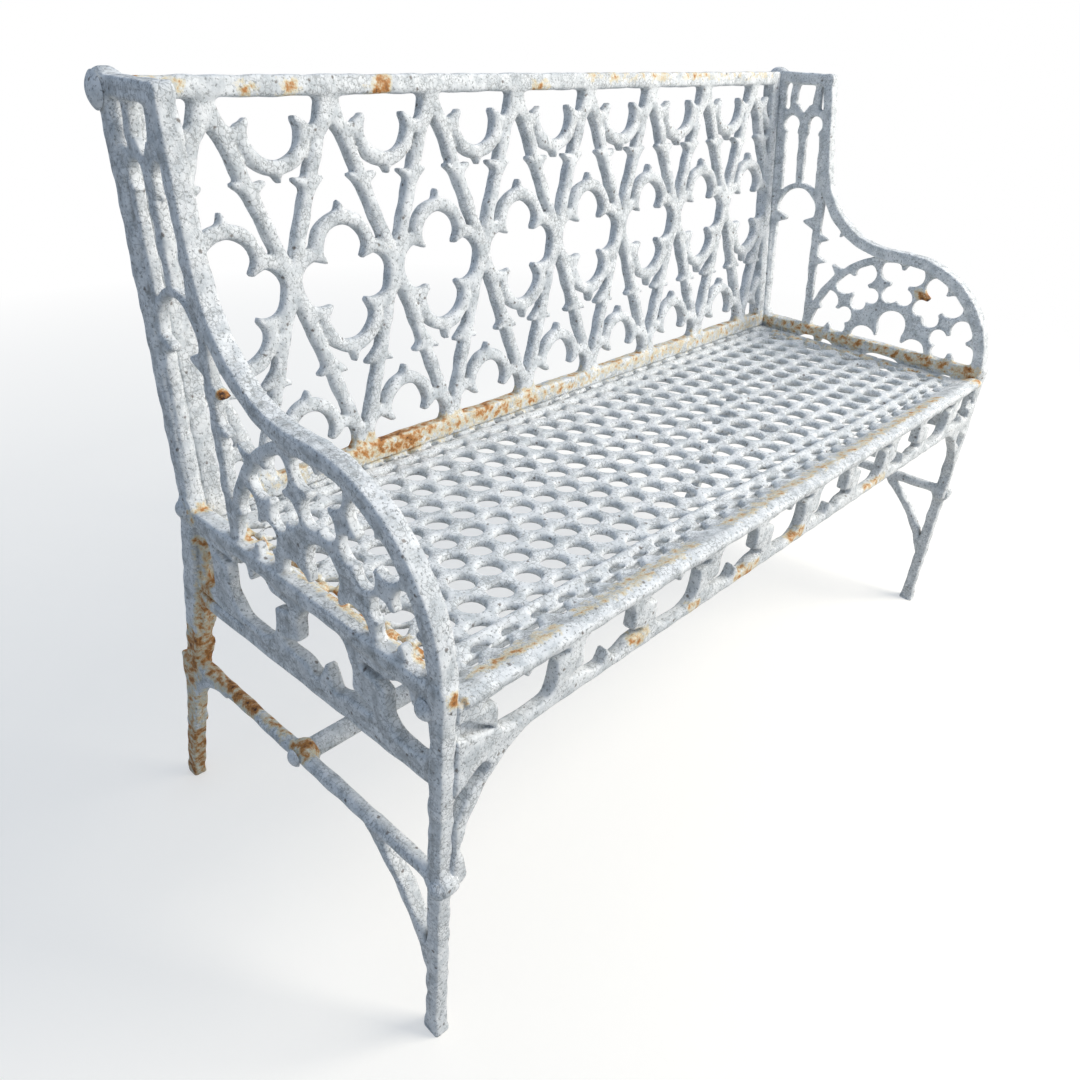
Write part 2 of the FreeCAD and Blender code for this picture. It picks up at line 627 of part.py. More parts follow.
def back_holes():
    half_pitch = (piece_x - S["backEndMargin"]) / S["backColumns"]
    upper = S["topNode"] - S["crossNode"]
    lower = S["crossNode"] - S["footNode"]
    upper_half = S["barHalf"] * math.hypot(half_pitch, upper) / upper
    lower_half = S["barHalf"] * math.hypot(half_pitch, lower) / lower
    cusp = S["foilCusp"]
    middle = S["foilCentre"]
    rail = S["backHeight"] - S["topRail"] - S["fitGap"]
    floor = S["footRail"] + S["fitGap"]

    def inside_upper(level):
        return half_pitch * (S["topNode"] - level) / upper - upper_half

    def inside_lower(level):
        return half_pitch * (level - S["footNode"]) / lower - lower_half

    def beside_upper(level):
        return half_pitch * (level - S["crossNode"]) / upper - upper_half

    def beside_lower(level):
        return half_pitch * (S["crossNode"] - level) / lower - lower_half

    def foil(x):
        return [(x - cusp, middle + cusp), (x, middle + S["foilRise"], 1), (x + cusp, middle + cusp),
                (x + S["foilHalf"], middle, 1), (x + cusp, middle - cusp),
                (x, middle - S["foilRise"], 1), (x - cusp, middle - cusp),
                (x - S["foilHalf"], middle, 1)]

    def upper_kite(x):
        shoulder = middle + S["ringShoulder"]
        point = S["topNode"] - upper * upper_half / half_pitch
        wide = inside_upper(shoulder)
        return [(x, point), (x + wide, shoulder), (x, middle + S["ringTip"]), (x - wide, shoulder)]

    def lower_kite(x):
        shoulder = middle - S["ringShoulder"]
        point = S["footNode"] + lower * lower_half / half_pitch
        wide = inside_lower(shoulder)
        return [(x, point), (x + wide, shoulder), (x, middle - S["ringTip"]), (x - wide, shoulder)]

    def cup(x):
        cheek = rail - S["barHalf"] * 2
        wide = beside_upper(rail)
        low = beside_upper(cheek)
        tip = cheek - S["barHalf"] / 2
        return [(x - wide, rail), (x + wide, rail), (x + low, cheek), (x + S["cuspHalf"], tip),
                (x, S["cupFoot"], 1), (x - S["cuspHalf"], tip), (x - low, cheek)]

    def below_cup(x):
        tip = S["cupFoot"] - S["cupBand"]
        shoulder = tip + S["cuspHalf"]
        wide = beside_upper(shoulder)
        point = S["crossNode"] + upper * upper_half / half_pitch
        return [(x - wide, shoulder), (x, tip), (x + wide, shoulder), (x, point)]

    def arch(x):
        cheek = floor + S["barHalf"] * 2
        wide = beside_lower(cheek)
        tip = cheek + S["barHalf"] * 2
        return [(x - wide, floor), (x + wide, floor), (x + wide, cheek), (x + S["cuspHalf"], tip),
                (x, S["archTop"], 1), (x - S["cuspHalf"], tip), (x - wide, cheek)]

    def above_arch(x):
        tip = S["archTop"] + S["archBand"]
        shoulder = tip - S["cuspHalf"]
        wide = beside_lower(shoulder)
        point = S["crossNode"] - lower * lower_half / half_pitch
        return [(x - wide, shoulder), (x, tip), (x + wide, shoulder), (x, point)]

    def border_upper(x, side):
        edge = x + half_pitch - S["backBorder"] + S["backEndMargin"]
        run = edge - x - upper_half
        foot = S["topNode"] - upper * run / half_pitch
        start = x + half_pitch * (S["topNode"] - rail) / upper + upper_half
        return [(side * start, rail), (side * edge, rail), (side * edge, foot)]

    def border_lower(x, side):
        edge = x + half_pitch - S["backBorder"] + S["backEndMargin"]
        run = edge - x - lower_half
        head = S["footNode"] + lower * run / half_pitch
        start = x + lower_half
        return [(side * start, floor), (side * edge, floor), (side * edge, head)]

    holes = []
    columns = int(S["backColumns"])
    for index in range(columns):
        x = (2 * index + 1 - columns) * half_pitch
        holes += [foil(x), upper_kite(x), lower_kite(x)]
    for index in range(1, columns):
        x = (2 * index - columns) * half_pitch
        holes += [cup(x), below_cup(x), arch(x), above_arch(x)]
    for side in (-1, 1):
        last = (columns - 1) * half_pitch
        holes += [border_upper(last, side), border_lower(last, side)]
    return holes


def back_casting():
    edge = piece_x - 1
    inset = S["footDrop"] / 3
    bars = plate([(-edge, inset - S["footDrop"]), (edge, inset - S["footDrop"]),
                  (edge, S["backHeight"] - inset), (-edge, S["backHeight"] - inset)],
                 back_holes(), front_view, Y_AXIS * S["backThick"])
    bars.translate(Y_AXIS * (-S["backThick"] / 2))
    rail_front = -S["backRailThick"] / 2
    top_start = FreeCAD.Vector(-piece_x, rail_front, S["backHeight"] - S["topRail"])
    top = Part.makeBox(2 * piece_x, S["backRailThick"], S["topRail"], top_start)
    foot_start = FreeCAD.Vector(-piece_x, rail_front, -S["footDrop"])
    foot_rise = S["footDrop"] + S["footRail"]
    foot = Part.makeBox(2 * piece_x, S["backRailThick"], foot_rise, foot_start)
    casting = bars.fuse([top, foot])
    casting.rotate(FreeCAD.Vector(0, 0, 0), X_AXIS, -S["backLean"])
    casting.translate(FreeCAD.Vector(0, S["backDepth"] - mid_depth, S["backFoot"]))
    holes = []
    for name in ("back_top_bolt", "back_foot_bolt"):
        depth, height, boss = BOLT_SPOTS[name]
        holes += both_ends(bolt_hole(depth, height))
    return casting.cut(holes)


def both_ends(shape):
    return [shape, shape.mirror(FreeCAD.Vector(0, 0, 0), X_AXIS)]


def seat_holes():
    holes = []
    field = piece_x - S["seatMargin"] - S["holeDia"] / 2
    per_side = int(field // S["holePitch"]) + 1
    for row in range(int(S["holeRows"])):
        stagger = S["holePitch"] / 2 * (row % 2)
        depth = S["firstRow"] + S["holeRow"] * row
        for index in range(-per_side, per_side + 1):
            x = index * S["holePitch"] + stagger
            if abs(x) <= field:
                centre = top_view(x, depth)
                holes.append(Part.Wire([Part.Circle(centre, Z_AXIS, S["holeDia"] / 2).toShape()]))
    return holes + half_holes(field, per_side) + border_openings(field, per_side)


def half_holes(field, per_side):
    # Half a row at the front and at the rear of the pierced field, against its borders.
    radius = S["holeDia"] / 2
    holes = []
    for row, inward in ((-1, 1), (int(S["holeRows"]), -1)):
        stagger = S["holePitch"] / 2 * (row % 2)
        depth = S["firstRow"] + S["holeRow"] * row
        for index in range(-per_side, per_side + 1):
            x = index * S["holePitch"] + stagger
            if abs(x) <= field:
                holes.append(outline([(x - radius, depth), bend((x, depth + inward * radius)),
                                      (x + radius, depth)], top_view))
    return holes


def border_openings(field, per_side):
    # Two rows of tapered openings with a zigzag bar between them, along the front of the seat.
    middle = (S["borderStart"] + S["borderStop"]) / 2
    rows = ((S["borderStop"], middle + S["borderBar"] / 2, 0), (S["borderStart"], middle - S["borderBar"] / 2, 1))
    holes = []
    for narrow_side, wide_side, shifted in rows:
        for index in range(-per_side, per_side + 1):
            x = (index + shifted / 2) * S["holePitch"]
            if abs(x) <= field:
                wide = S["borderWide"] / 2
                narrow = S["borderNarrow"] / 2
                holes.append(outline([(x - wide, wide_side), (x + wide, wide_side), (x + narrow, narrow_side),
                                      (x - narrow, narrow_side)], top_view))
    return holes


def seat_casting():
    lap = S["noseRear"] / 3
    front = S["noseRear"] - lap
    corners = [(-piece_x, front), (piece_x, front), (piece_x, S["seatRear"]), (-piece_x, S["seatRear"])]
    wires = [outline(corners, top_view)] + seat_holes()
    field = Part.makeFace(wires, "Part::FaceMakerBullseye").extrude(Z_AXIS * S["seatThick"])
    field.translate(Z_AXIS * ledge_top)
    heel = S["apronFront"] + S["apronThick"] + S["fitGap"]
    lip = (S["noseTop"] + S["apronTop"]) / 2 - (S["noseTop"] - S["apronTop"]) / 3
    middle = (S["noseFront"] + S["noseRear"]) / 2
    roll = [(heel, ledge_top), (S["noseRear"], ledge_top), (S["noseRear"], S["seatTop"]),
            (middle, S["noseTop"], 1), (S["noseFront"], lip), (S["noseFront"], S["apronTop"]),
            (heel, S["apronTop"])]
    nose = plate(roll, [], side_view, X_AXIS * (2 * piece_x))
    nose.translate(X_AXIS * -piece_x)
    depth, height, boss = BOLT_SPOTS["seat_front_bolt"]
    holes = both_ends(bolt_hole(depth, height))
    for spot in ledge_spots:
        base = FreeCAD.Vector(ledge_bolt_x, spot - mid_depth, ledge_top)
        tapped = Part.makeCylinder(S["boltDia"] / 2 + S["fitGap"], S["ledgeGrip"] + S["fitGap"], base, Z_AXIS)
        holes += both_ends(tapped)
    return field.fuse(nose).cut(holes)


def apron_casting():
    foot = S["apronFoot"]
    flange = piece_x - S["bracketFlange"]
    start = flange - S["bracketReach"]
    land = S["bracketFoot"] + S["bossDia"]
    drop = foot - land
    arc = (start + S["bracketReach"] * BRACKET_BOW[0], foot - drop * BRACKET_BOW[1])
    right = [(start, foot), bend(arc), (flange, land), (flange, S["bracketFoot"]),
             (piece_x, S["bracketFoot"]), (piece_x, S["apronTop"])]
    left = [(-corner[0],) + corner[1:] for corner in reversed(right)]
    band = S["bracketBand"]
    hollow_start = start + band * HOLLOW_START
    hollow_foot = land + band * 2
    hollow = [(hollow_start, foot), (flange, foot), (flange, hollow_foot),
              bend((arc[0] + band * HOLLOW_BOW, arc[1] + band * HOLLOW_BOW))]
    holes = [hollow, [(-corner[0],) + corner[1:] for corner in hollow]]
    opening_foot = foot + S["apronRail"]
    pitch = 2 * piece_x / S["apronCount"]
    for index in range(int(S["apronCount"])):
        x = (index - (S["apronCount"] - 1) / 2) * pitch + S["openingShift"]
        half = S["openingWidth"] / 2
        edge = min(x + half, flange - S["traceryLap"])
        holes.append(cusped_hole(x - half, edge, opening_foot, opening_foot + S["openingRise"],
                                 index % 2 == 1))
    casting = plate(right + left, holes, front_view, Y_AXIS * S["apronThick"])
    casting.translate(Y_AXIS * (S["apronFront"] - mid_depth))
    depth, height, boss = BOLT_SPOTS["apron_foot_bolt"]
    return casting.cut(both_ends(bolt_hole(depth, height)))


def add_casting(label, shape):
    casting = doc.addObject("Part::Feature", label)
    casting.Shape = shape
    casting.Label = label
    return casting


right_end = end_casting()
left_end = right_end.mirror(FreeCAD.Vector(0, 0, 0), X_AXIS)
nodes = [
    add_casting("end_frame_left", left_end),
    add_casting("end_frame_right", right_end),
    add_casting("back_panel", back_casting()),
    add_casting("seat_grille", seat_casting()),
    add_casting("front_apron", apron_casting()),
]

# Turned and forged pieces: primitives bound to the sheet

MID_DEPTH = "(Sizes.noseFront + Sizes.rearFootBack) / 2"
OUTER_X = "(Sizes.benchLength / 2)"
INNER_X = "(Sizes.benchLength / 2 - Sizes.endThick)"
BACK_MID = "(Sizes.backHeight - Sizes.topRail / 2)"
SPOT_TEXT = {
    "back_top_bolt": ("Sizes.backDepth + " + BACK_MID + " * sin(Sizes.backLean * 1 deg)",
                      "Sizes.backFoot + " + BACK_MID + " * cos(Sizes.backLean * 1 deg)",
                      "Sizes.knobHeadDia"),
    "back_foot_bolt": ("Sizes.backDepth", "Sizes.backFoot", "Sizes.boltHeadDia"),
    "seat_front_bolt": ("Sizes.cornerBoltDepth", "Sizes.cornerBoltHeight", "Sizes.boltHeadDia"),
    "apron_foot_bolt": ("Sizes.apronFront + Sizes.apronThick / 2", "Sizes.braceBoltHeight",
                        "Sizes.boltHeadDia"),
    "stretcher_bolt": ("Sizes.stretcherDepth", "Sizes.stretcherHeight", "Sizes.boltHeadDia"),
}
OUTWARD = {"left": FreeCAD.Rotation(Y_AXIS, -90), "right": FreeCAD.Rotation(Y_AXIS, 90)}
SIGN = {"left": "-1", "right": "1"}


def primitive(kind, name, **sizes):
    piece = doc.addObject(kind, name)
    for key, text in sizes.items():
        piece.setExpression(key, text)
    return piece


def settle(piece, x, y, z, turn=None):
    if turn is not None:
        piece.Placement = FreeCAD.Placement(FreeCAD.Vector(0, 0, 0), turn)
    piece.setExpression("Placement.Base.x", x)
    piece.setExpression("Placement.Base.y", y)
    piece.setExpression("Placement.Base.z", z)


def joined(kind, label, base, tool):
    piece = doc.addObject(kind, label)
    piece.Base = base
    piece.Tool = tool
    piece.Label = label
    return piece


def round_bolt(spot, side, grip):
    # A round-headed bolt from outside an end casting into the piece that it holds.
    label = "%s_%s" % (spot, side)
    depth, height, head_dia = SPOT_TEXT[spot]
    y = "%s - %s" % (depth, MID_DEPTH)
    dome = "(((%s / 2) ^ 2 + Sizes.boltHeadRise ^ 2) / (2 * Sizes.boltHeadRise))" % head_dia
    middle = "%s * (%s + Sizes.bossProud + Sizes.boltHeadRise - %s)" % (SIGN[side], OUTER_X, dome)
    end = "%s * (%s - %s)" % (SIGN[side], INNER_X, grip)
    shank = primitive("Part::Cylinder", label + "_shank", Radius="Sizes.boltDia / 2",
                      Height="Sizes.endThick + Sizes.bossProud + " + grip)
    settle(shank, end, y, height, OUTWARD[side])
    head = primitive("Part::Sphere", label + "_head", Radius=dome,
                     Angle1="asin(1 - Sizes.boltHeadRise / %s)" % dome)
    settle(head, middle, y, height, OUTWARD[side])
    return joined("Part::Fuse", label, shank, head)


for spot in SPOT_TEXT:
    grip_text = "Sizes.boltGrip"
    if spot == "apron_foot_bolt":
        grip_text = "(Sizes.fitGap + Sizes.bracketFlange)"
    for side in SIGN:
        nodes.append(round_bolt(spot, side, grip_text))

LEDGE_UNDER = "Sizes.seatTop - Sizes.seatThick - Sizes.ledgeThick"
LEDGE_X = "(%s - Sizes.ledgeWidth / 2)" % INNER_X
LEDGE_SPOTS = {"front": "Sizes.ledgeFront + Sizes.ledgeBoltInset",
               "rear": "Sizes.ledgeRear"}
for side in SIGN:
    for place, depth in LEDGE_SPOTS.items():
        # A bolt up through the lug into the seat, and the washer under its head
        x = "%s * %s" % (SIGN[side], LEDGE_X)
        y = "%s - %s" % (depth, MID_DEPTH)
        label = "seat_ledge_bolt_%s_%s" % (side, place)
        shank = primitive("Part::Cylinder", label + "_shank", Radius="Sizes.boltDia / 2",
                          Height="Sizes.washerThick + Sizes.ledgeThick + Sizes.ledgeGrip")
        settle(shank, x, y, LEDGE_UNDER + " - Sizes.washerThick")
        head = primitive("Part::Prism", label + "_head", Circumradius="Sizes.washerDia / 2 * %s" % HEX_SHARE,
                         Height="Sizes.hexHeadRise")
        head.Polygon = 6
        settle(head, x, y, LEDGE_UNDER + " - Sizes.washerThick - Sizes.hexHeadRise")
        nodes.append(joined("Part::Fuse", label, shank, head))
        label = "seat_ledge_washer_%s_%s" % (side, place)
        disc = primitive("Part::Cylinder", label + "_disc", Radius="Sizes.washerDia / 2",
                         Height="Sizes.washerThick")
        settle(disc, x, y, LEDGE_UNDER + " - Sizes.washerThick")
        bore = primitive("Part::Cylinder", label + "_bore", Radius="Sizes.boltDia / 2 + Sizes.fitGap",
                         Height="3 * Sizes.washerThick")
        settle(bore, x, y, LEDGE_UNDER + " - 2 * Sizes.washerThick")
        nodes.append(joined("Part::Cut", label, disc, bore))

# The long stretcher, a round bar tapped at both ends
stretcher_y = "Sizes.stretcherDepth - " + MID_DEPTH
bar = primitive("Part::Cylinder", "stretcher_bar", Radius="Sizes.stretcherDia / 2",
                Height="2 * (%s - Sizes.fitGap)" % INNER_X)
settle(bar, "-1 * (%s - Sizes.fitGap)" % INNER_X, stretcher_y, "Sizes.stretcherHeight", OUTWARD["right"])
for side in SIGN:
    bore = primitive("Part::Cylinder", "stretcher_bore_" + side, Radius="Sizes.boltDia / 2 + Sizes.fitGap",
                     Height="2 * Sizes.boltGrip")
    settle(bore, "%s * (%s - Sizes.boltGrip - Sizes.fitGap)" % (SIGN[side], INNER_X), stretcher_y,
           "Sizes.stretcherHeight", OUTWARD[side])
    bar = joined("Part::Cut", "stretcher_" + side, bar, bore)
bar.Label = "long_stretcher"
nodes.append(bar)

doc.recompute()

for item in doc.Objects:
    if "Invalid" in item.State or "Error" in item.State:
        raise RuntimeError("failed: %s %s" % (item.Name, item.State))
for node in nodes:
    if node.Shape.isNull() or not node.Shape.isValid() or not node.Shape.Solids:
        raise RuntimeError("bad shape: " + node.Label)
    if len(node.Shape.Solids) != 1:
        raise RuntimeError("%s has %d solids" % (node.Label, len(node.Shape.Solids)))

os.makedirs("parts", exist_ok=True)
for node in nodes:
    node.Shape.exportStep("parts/%s.step" % node.Label)
    box = node.Shape.BoundBox
    print("%-30s %7.1f cm3  x %.1f..%.1f  y %.1f..%.1f  z %.1f..%.1f" % (
        node.Label, node.Shape.Volume / 1000, box.XMin, box.XMax, box.YMin, box.YMax, box.ZMin, box.ZMax))
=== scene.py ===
import bpy
import math
import numpy as np
from mathutils import Matrix, Vector


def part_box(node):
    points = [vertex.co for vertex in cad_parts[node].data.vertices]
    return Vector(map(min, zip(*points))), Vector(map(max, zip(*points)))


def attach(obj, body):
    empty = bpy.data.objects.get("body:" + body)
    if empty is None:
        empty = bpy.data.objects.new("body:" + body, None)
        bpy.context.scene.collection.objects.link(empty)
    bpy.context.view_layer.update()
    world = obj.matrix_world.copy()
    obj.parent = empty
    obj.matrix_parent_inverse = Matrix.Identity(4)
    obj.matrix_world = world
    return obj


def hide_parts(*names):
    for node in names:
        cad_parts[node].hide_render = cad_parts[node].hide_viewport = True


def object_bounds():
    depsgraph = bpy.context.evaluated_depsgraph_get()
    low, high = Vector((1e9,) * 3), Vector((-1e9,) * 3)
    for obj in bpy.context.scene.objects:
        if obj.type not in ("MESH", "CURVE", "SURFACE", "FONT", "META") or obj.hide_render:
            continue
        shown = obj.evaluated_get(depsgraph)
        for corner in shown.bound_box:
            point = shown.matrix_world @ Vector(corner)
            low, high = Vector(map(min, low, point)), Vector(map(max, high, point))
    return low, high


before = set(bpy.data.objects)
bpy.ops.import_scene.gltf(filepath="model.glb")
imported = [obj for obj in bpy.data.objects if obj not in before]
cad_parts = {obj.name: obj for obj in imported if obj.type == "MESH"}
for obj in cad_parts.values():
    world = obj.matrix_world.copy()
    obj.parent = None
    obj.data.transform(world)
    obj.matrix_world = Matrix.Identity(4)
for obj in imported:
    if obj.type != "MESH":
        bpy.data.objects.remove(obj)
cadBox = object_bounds()
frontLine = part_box("seat_grille")[0].y * 1000 + 20  # mm; depths below run back from this line
print("frame loaded, front line at", round(frontLine, 1), "mm")


# Distance fields, in mm: below zero is iron

def disc(p, q, centre, radius):  # distance to a point, less the radius
    return np.hypot(p - centre[0], q - centre[1]) - radius


def bar(p, q, start, end, startHalf, endHalf=None):  # a round-ended bar that may taper
    endHalf = startHalf if endHalf is None else endHalf
    runP, runQ = end[0] - start[0], end[1] - start[1]
    share = ((p - start[0]) * runP + (q - start[1]) * runQ) / (runP ** 2 + runQ ** 2)
    share = np.clip(share, 0, 1)
    off = np.hypot(p - start[0] - share * runP, q - start[1] - share * runQ)
    return off - startHalf - share * (endHalf - startHalf)


def bow(p, q, centre, radius, half, first, last):  # a round-ended bar along an arc, in degrees
    middle = math.radians((first + last) / 2)
    spread = math.radians(abs(last - first) / 2)
    angle = np.arctan2(q - centre[1], p - centre[0]) - middle
    angle = np.clip((angle + np.pi) % (2 * np.pi) - np.pi, -spread, spread) + middle
    nearP = centre[0] + radius * np.cos(angle)
    nearQ = centre[1] + radius * np.sin(angle)
    return np.hypot(p - nearP, q - nearQ) - half


def cornerOff(p, q):  # distance past two edges at a right angle, below zero inside both
    return np.hypot(np.maximum(p, 0), np.maximum(q, 0)) + np.minimum(np.maximum(p, q), 0)


def slab(p, q, low, high, corner=3):  # a rectangle with rounded corners
    outP = np.abs(p - (low[0] + high[0]) / 2) - (high[0] - low[0]) / 2 + corner
    outQ = np.abs(q - (low[1] + high[1]) / 2) - (high[1] - low[1]) / 2 + corner
    return cornerOff(outP, outQ) - corner


def blend(a, b, fillet=4):  # union with a cast fillet
    share = np.clip(0.5 + 0.5 * (b - a) / fillet, 0, 1)
    return b * (1 - share) + a * share - fillet * share * (1 - share)


def carve(a, b, fillet=3):  # a without b, the edge softened
    return -blend(-a, b, fillet)


def union(parts, fillet=4):  # several shapes blended in turn
    whole = parts[0]
    for part in parts[1:]:
        whole = blend(whole, part, fillet)
    return whole


def thick(flat, through, half, edge):  # a flat shape given a thickness and rounded edges
    return cornerOff(flat + edge, np.abs(through) - half + edge) - edge


def lumps(a, b, c, size=0.35):  # the uneven skin of sand casting and old paint: sums of sines
    return size * (np.sin(a / 6.1 + 1.3) * np.sin(b / 7.3 + 0.4) + np.sin(b / 4.7 + c / 5.9)
                   + np.sin(a / 13.7 - c / 11.3) * np.sin(b / 17.9 + 2.1))


def grid(low, high, step):  # open axes that broadcast to a box of points
    axes = [np.arange(low[k], high[k] + step, step) for k in range(3)]
    return axes[0][:, None, None], axes[1][None, :, None], axes[2][None, None, :]


cellCorners = np.array([(i, j, k) for i in (0, 1) for j in (0, 1) for k in (0, 1)])
cellEdges = [(m, n) for m in range(8) for n in range(m + 1, 8)
             if np.abs(cellCorners[m] - cellCorners[n]).sum() == 1]


def netSurface(field, low, step):
    # Surface net: one vertex for each cell that the zero level crosses, at the mean of its edge
    # crossings, and one quad for each grid edge that the level crosses.
    inside = field < 0
    size = np.array(field.shape)
    count = np.zeros(size - 1, np.int8)
    for i, j, k in cellCorners:
        count += inside[i:size[0] - 1 + i, j:size[1] - 1 + j, k:size[2] - 1 + k]
    cells = np.argwhere((count > 0) & (count < 8))
    values = [field[tuple((cells + corner).T)] for corner in cellCorners]
    total = np.zeros((len(cells), 3))
    hits = np.zeros(len(cells))
    for m, n in cellEdges:
        crossed = (values[m] < 0) != (values[n] < 0)
        share = np.where(crossed, values[m] / np.where(crossed, values[m] - values[n], 1), 0)
        spot = cellCorners[m] + share[:, None] * (cellCorners[n] - cellCorners[m])
        total += np.where(crossed[:, None], spot, 0)
        hits += crossed
    points = np.array(low) + step * (cells + total / hits[:, None])
    number = np.full(size - 1, -1)
    number[tuple(cells.T)] = np.arange(len(cells))
    quads = []
    for axis in range(3):
        start = np.take(inside, np.arange(size[axis] - 1), axis)
        end = np.take(inside, np.arange(1, size[axis]), axis)
        edges = np.argwhere(start != end)
        second, third = (axis + 1) % 3, (axis + 2) % 3
        corners = []
        for back, left in ((1, 1), (0, 1), (0, 0), (1, 0)):
            cell = edges.copy()
            cell[:, second] -= back
            cell[:, third] -= left
            corners.append(number[tuple(cell.T)])
        quad = np.stack(corners, 1)
        outward = start[tuple(edges.T)]
        quads.append(np.where(outward[:, None], quad, quad[:, ::-1]))
    return points, np.concatenate(quads), cells


def ironShare(field, cells, reach=3):  # how much of the neighbourhood is iron: over a half in hollows
    share = (field < 0).astype(np.float32)
    for axis in range(3):
        edge = [(reach + 1, reach) if k == axis else (0, 0) for k in range(3)]
        total = np.cumsum(np.pad(share, edge, mode="edge"), axis)
        last = np.arange(2 * reach + 1, total.shape[axis])
        share = (np.take(total, last, axis) - np.take(total, last - 2 * reach - 1, axis)) / (2 * reach + 1)
    return share[tuple(cells.T)]


def makeMesh(name, points, faces):  # points in mm, faces an array of quads
    mesh = bpy.data.meshes.new(name)
    mesh.vertices.add(len(points))
    mesh.vertices.foreach_set("co", (points / 1000).astype(np.float32).ravel())
    mesh.loops.add(faces.size)
    mesh.loops.foreach_set("vertex_index", faces.astype(np.int32).ravel())
    mesh.polygons.add(len(faces))
    mesh.polygons.foreach_set("loop_start", np.arange(0, faces.size, faces.shape[1], dtype=np.int32))
    mesh.polygons.foreach_set("use_smooth", np.ones(len(faces), bool))
    mesh.update()
    mesh.validate()
    piece = bpy.data.objects.new(name, mesh)
    bpy.context.scene.collection.objects.link(piece)
    return piece


# Where rust shows: from, to, radius, strength; x along the bench, depth, height, in mm

rustPlaces = [
    ((-545, 428, 820), (-535, 428, 820), 12, 1.0), ((-515, 428, 822), (-505, 428, 818), 10, 0.85),
    ((-440, 426, 815), (-434, 426, 815), 10, 0.85), ((-395, 426, 815), (-385, 426, 815), 11, 0.8),
    ((-285, 426, 815), (-272, 426, 818), 12, 0.95), ((-40, 426, 815), (-20, 426, 812), 11, 0.85),
    ((60, 428, 822), (520, 428, 822), 10, 0.6), ((-500, 384, 430), (-370, 384, 430), 16, 0.75),
    ((-355, 384, 432), (-270, 384, 426), 20, 0.95), ((-260, 384, 430), (-60, 384, 428), 18, 0.86),
    ((-60, 384, 428), (540, 384, 428), 16, 0.76),
    ((-548, 360, 415), (-548, 330, 415), 14, 0.7), ((-563, -10, 428), (-556, -14, 424), 9, 0.95),
    ((-520, 4, 421), (-430, 4, 421), 12, 0.68), ((-395, 4, 421), (-220, 4, 421), 12, 0.7),
    ((-150, 4, 421), (420, 4, 421), 12, 0.66), ((540, -8, 426), (560, 20, 428), 16, 0.8),
    ((-20, -14, 362), (0, -14, 362), 10, 0.85), ((-325, -14, 368), (-310, -14, 364), 11, 0.8),
    ((-228, -14, 358), (-220, -14, 356), 9, 0.75), ((-140, -14, 358), (-100, -14, 358), 11, 0.75),
    ((180, -14, 360), (230, -14, 360), 9, 0.75), ((-556, 366, 345), (-556, 394, 250), 24, 0.88),
    ((-562, 410, 250), (-562, 432, 190), 27, 0.92), ((-562, 432, 190), (-562, 450, 110), 24, 0.78),
    ((-562, 455, 85), (-562, 472, 10), 27, 0.88), ((-562, 410, 230), (-562, 300, 222), 20, 0.92),
    ((-562, 290, 226), (-562, 225, 230), 14, 0.7), ((-562, 209, 222), (-500, 209, 222), 20, 0.88),
    ((-562, 392, 432), (-562, 370, 430), 15, 0.85), ((-552, 300, 436), (-552, 30, 436), 10, 0.72),
    ((-535, 340, 410), (-535, 40, 410), 14, 0.78), ((535, 340, 410), (535, 40, 410), 10, 0.7),
    ((556, 370, 426), (556, 20, 428), 13, 0.75), ((-562, 288, 583), (-562, 268, 588), 9, 1.3),
    ((562, 100, 520), (562, 118, 530), 9, 1.35), ((-566, 366, 395), (-566, 362, 370), 14, 0.85),
]
rustFade = 1.5  # full strength to half the radius, none at one and a half


def toFrontLine(points):  # depths counted from the front line become places in the frame
    return points + np.array([0, frontLine, 0])


def rustAt(points):  # the strongest place counts, fading with the distance from its line
    mask = np.zeros(len(points))
    for start, end, radius, strength in rustPlaces:
        first = toFrontLine(np.array(start))
        run = toFrontLine(np.array(end)) - first
        share = np.clip((points - first) @ run / (run @ run), 0, 1)
        off = np.linalg.norm(points - first - share[:, None] * run, axis=1)
        mask = np.maximum(mask, strength * np.clip(rustFade - off / radius, 0, 1))
    return mask


mostTriangles = 190000  # in one casting


def casting(name, node, field, low, step, place, mirrored=False):
    # The net of a field, put in its place, with its rust and its hollows as values for the paint; the paint
    # turns darker in the hollows, as dirt and painted shade
    points, quads, cells = netSurface(field, low, step)
    points = place(points)
    corner = [np.array(c) * 1000 for c in cadBox]
    points = np.clip(points, corner[0], corner[1])  # no vertex leaves the CAD model's box
    if mirrored:
        quads = quads[:, ::-1]
    piece = makeMesh(name, points, quads)
    share = mostTriangles / (2 * len(quads))
    if share < 1:  # the same shape with fewer triangles
        lighter = piece.modifiers.new("lighter", "DECIMATE")
        lighter.ratio = share
    rust = piece.data.attributes.new("rust", "FLOAT", "POINT")
    rust.data.foreach_set("value", rustAt(points).astype(np.float32))
    hollow = piece.data.attributes.new("hollow", "FLOAT", "POINT")
    hollow.data.foreach_set("value", ironShare(field, cells).astype(np.float32))
    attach(piece, "root")
    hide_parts(node)
    print(name, len(points), "points,", 2 * len(quads), "triangles")
    return piece


# The back: crossed bars, four-lobed rings, cups and arches between two rails

backSizes = dict(step=2.5, foot=(384, 432), lean=7, pitch=137, height=398, length=1103, latticeHalf=8,
                 railHalf=10, barHalf=7.8, barTop=385, barCross=205, barFoot=4, ringBand=15, tipHalf=7,
                 cuspHalf=6, budHalf=7.5, budReach=16.1, topRail=379, footRail=5, underside=-18, post=21)


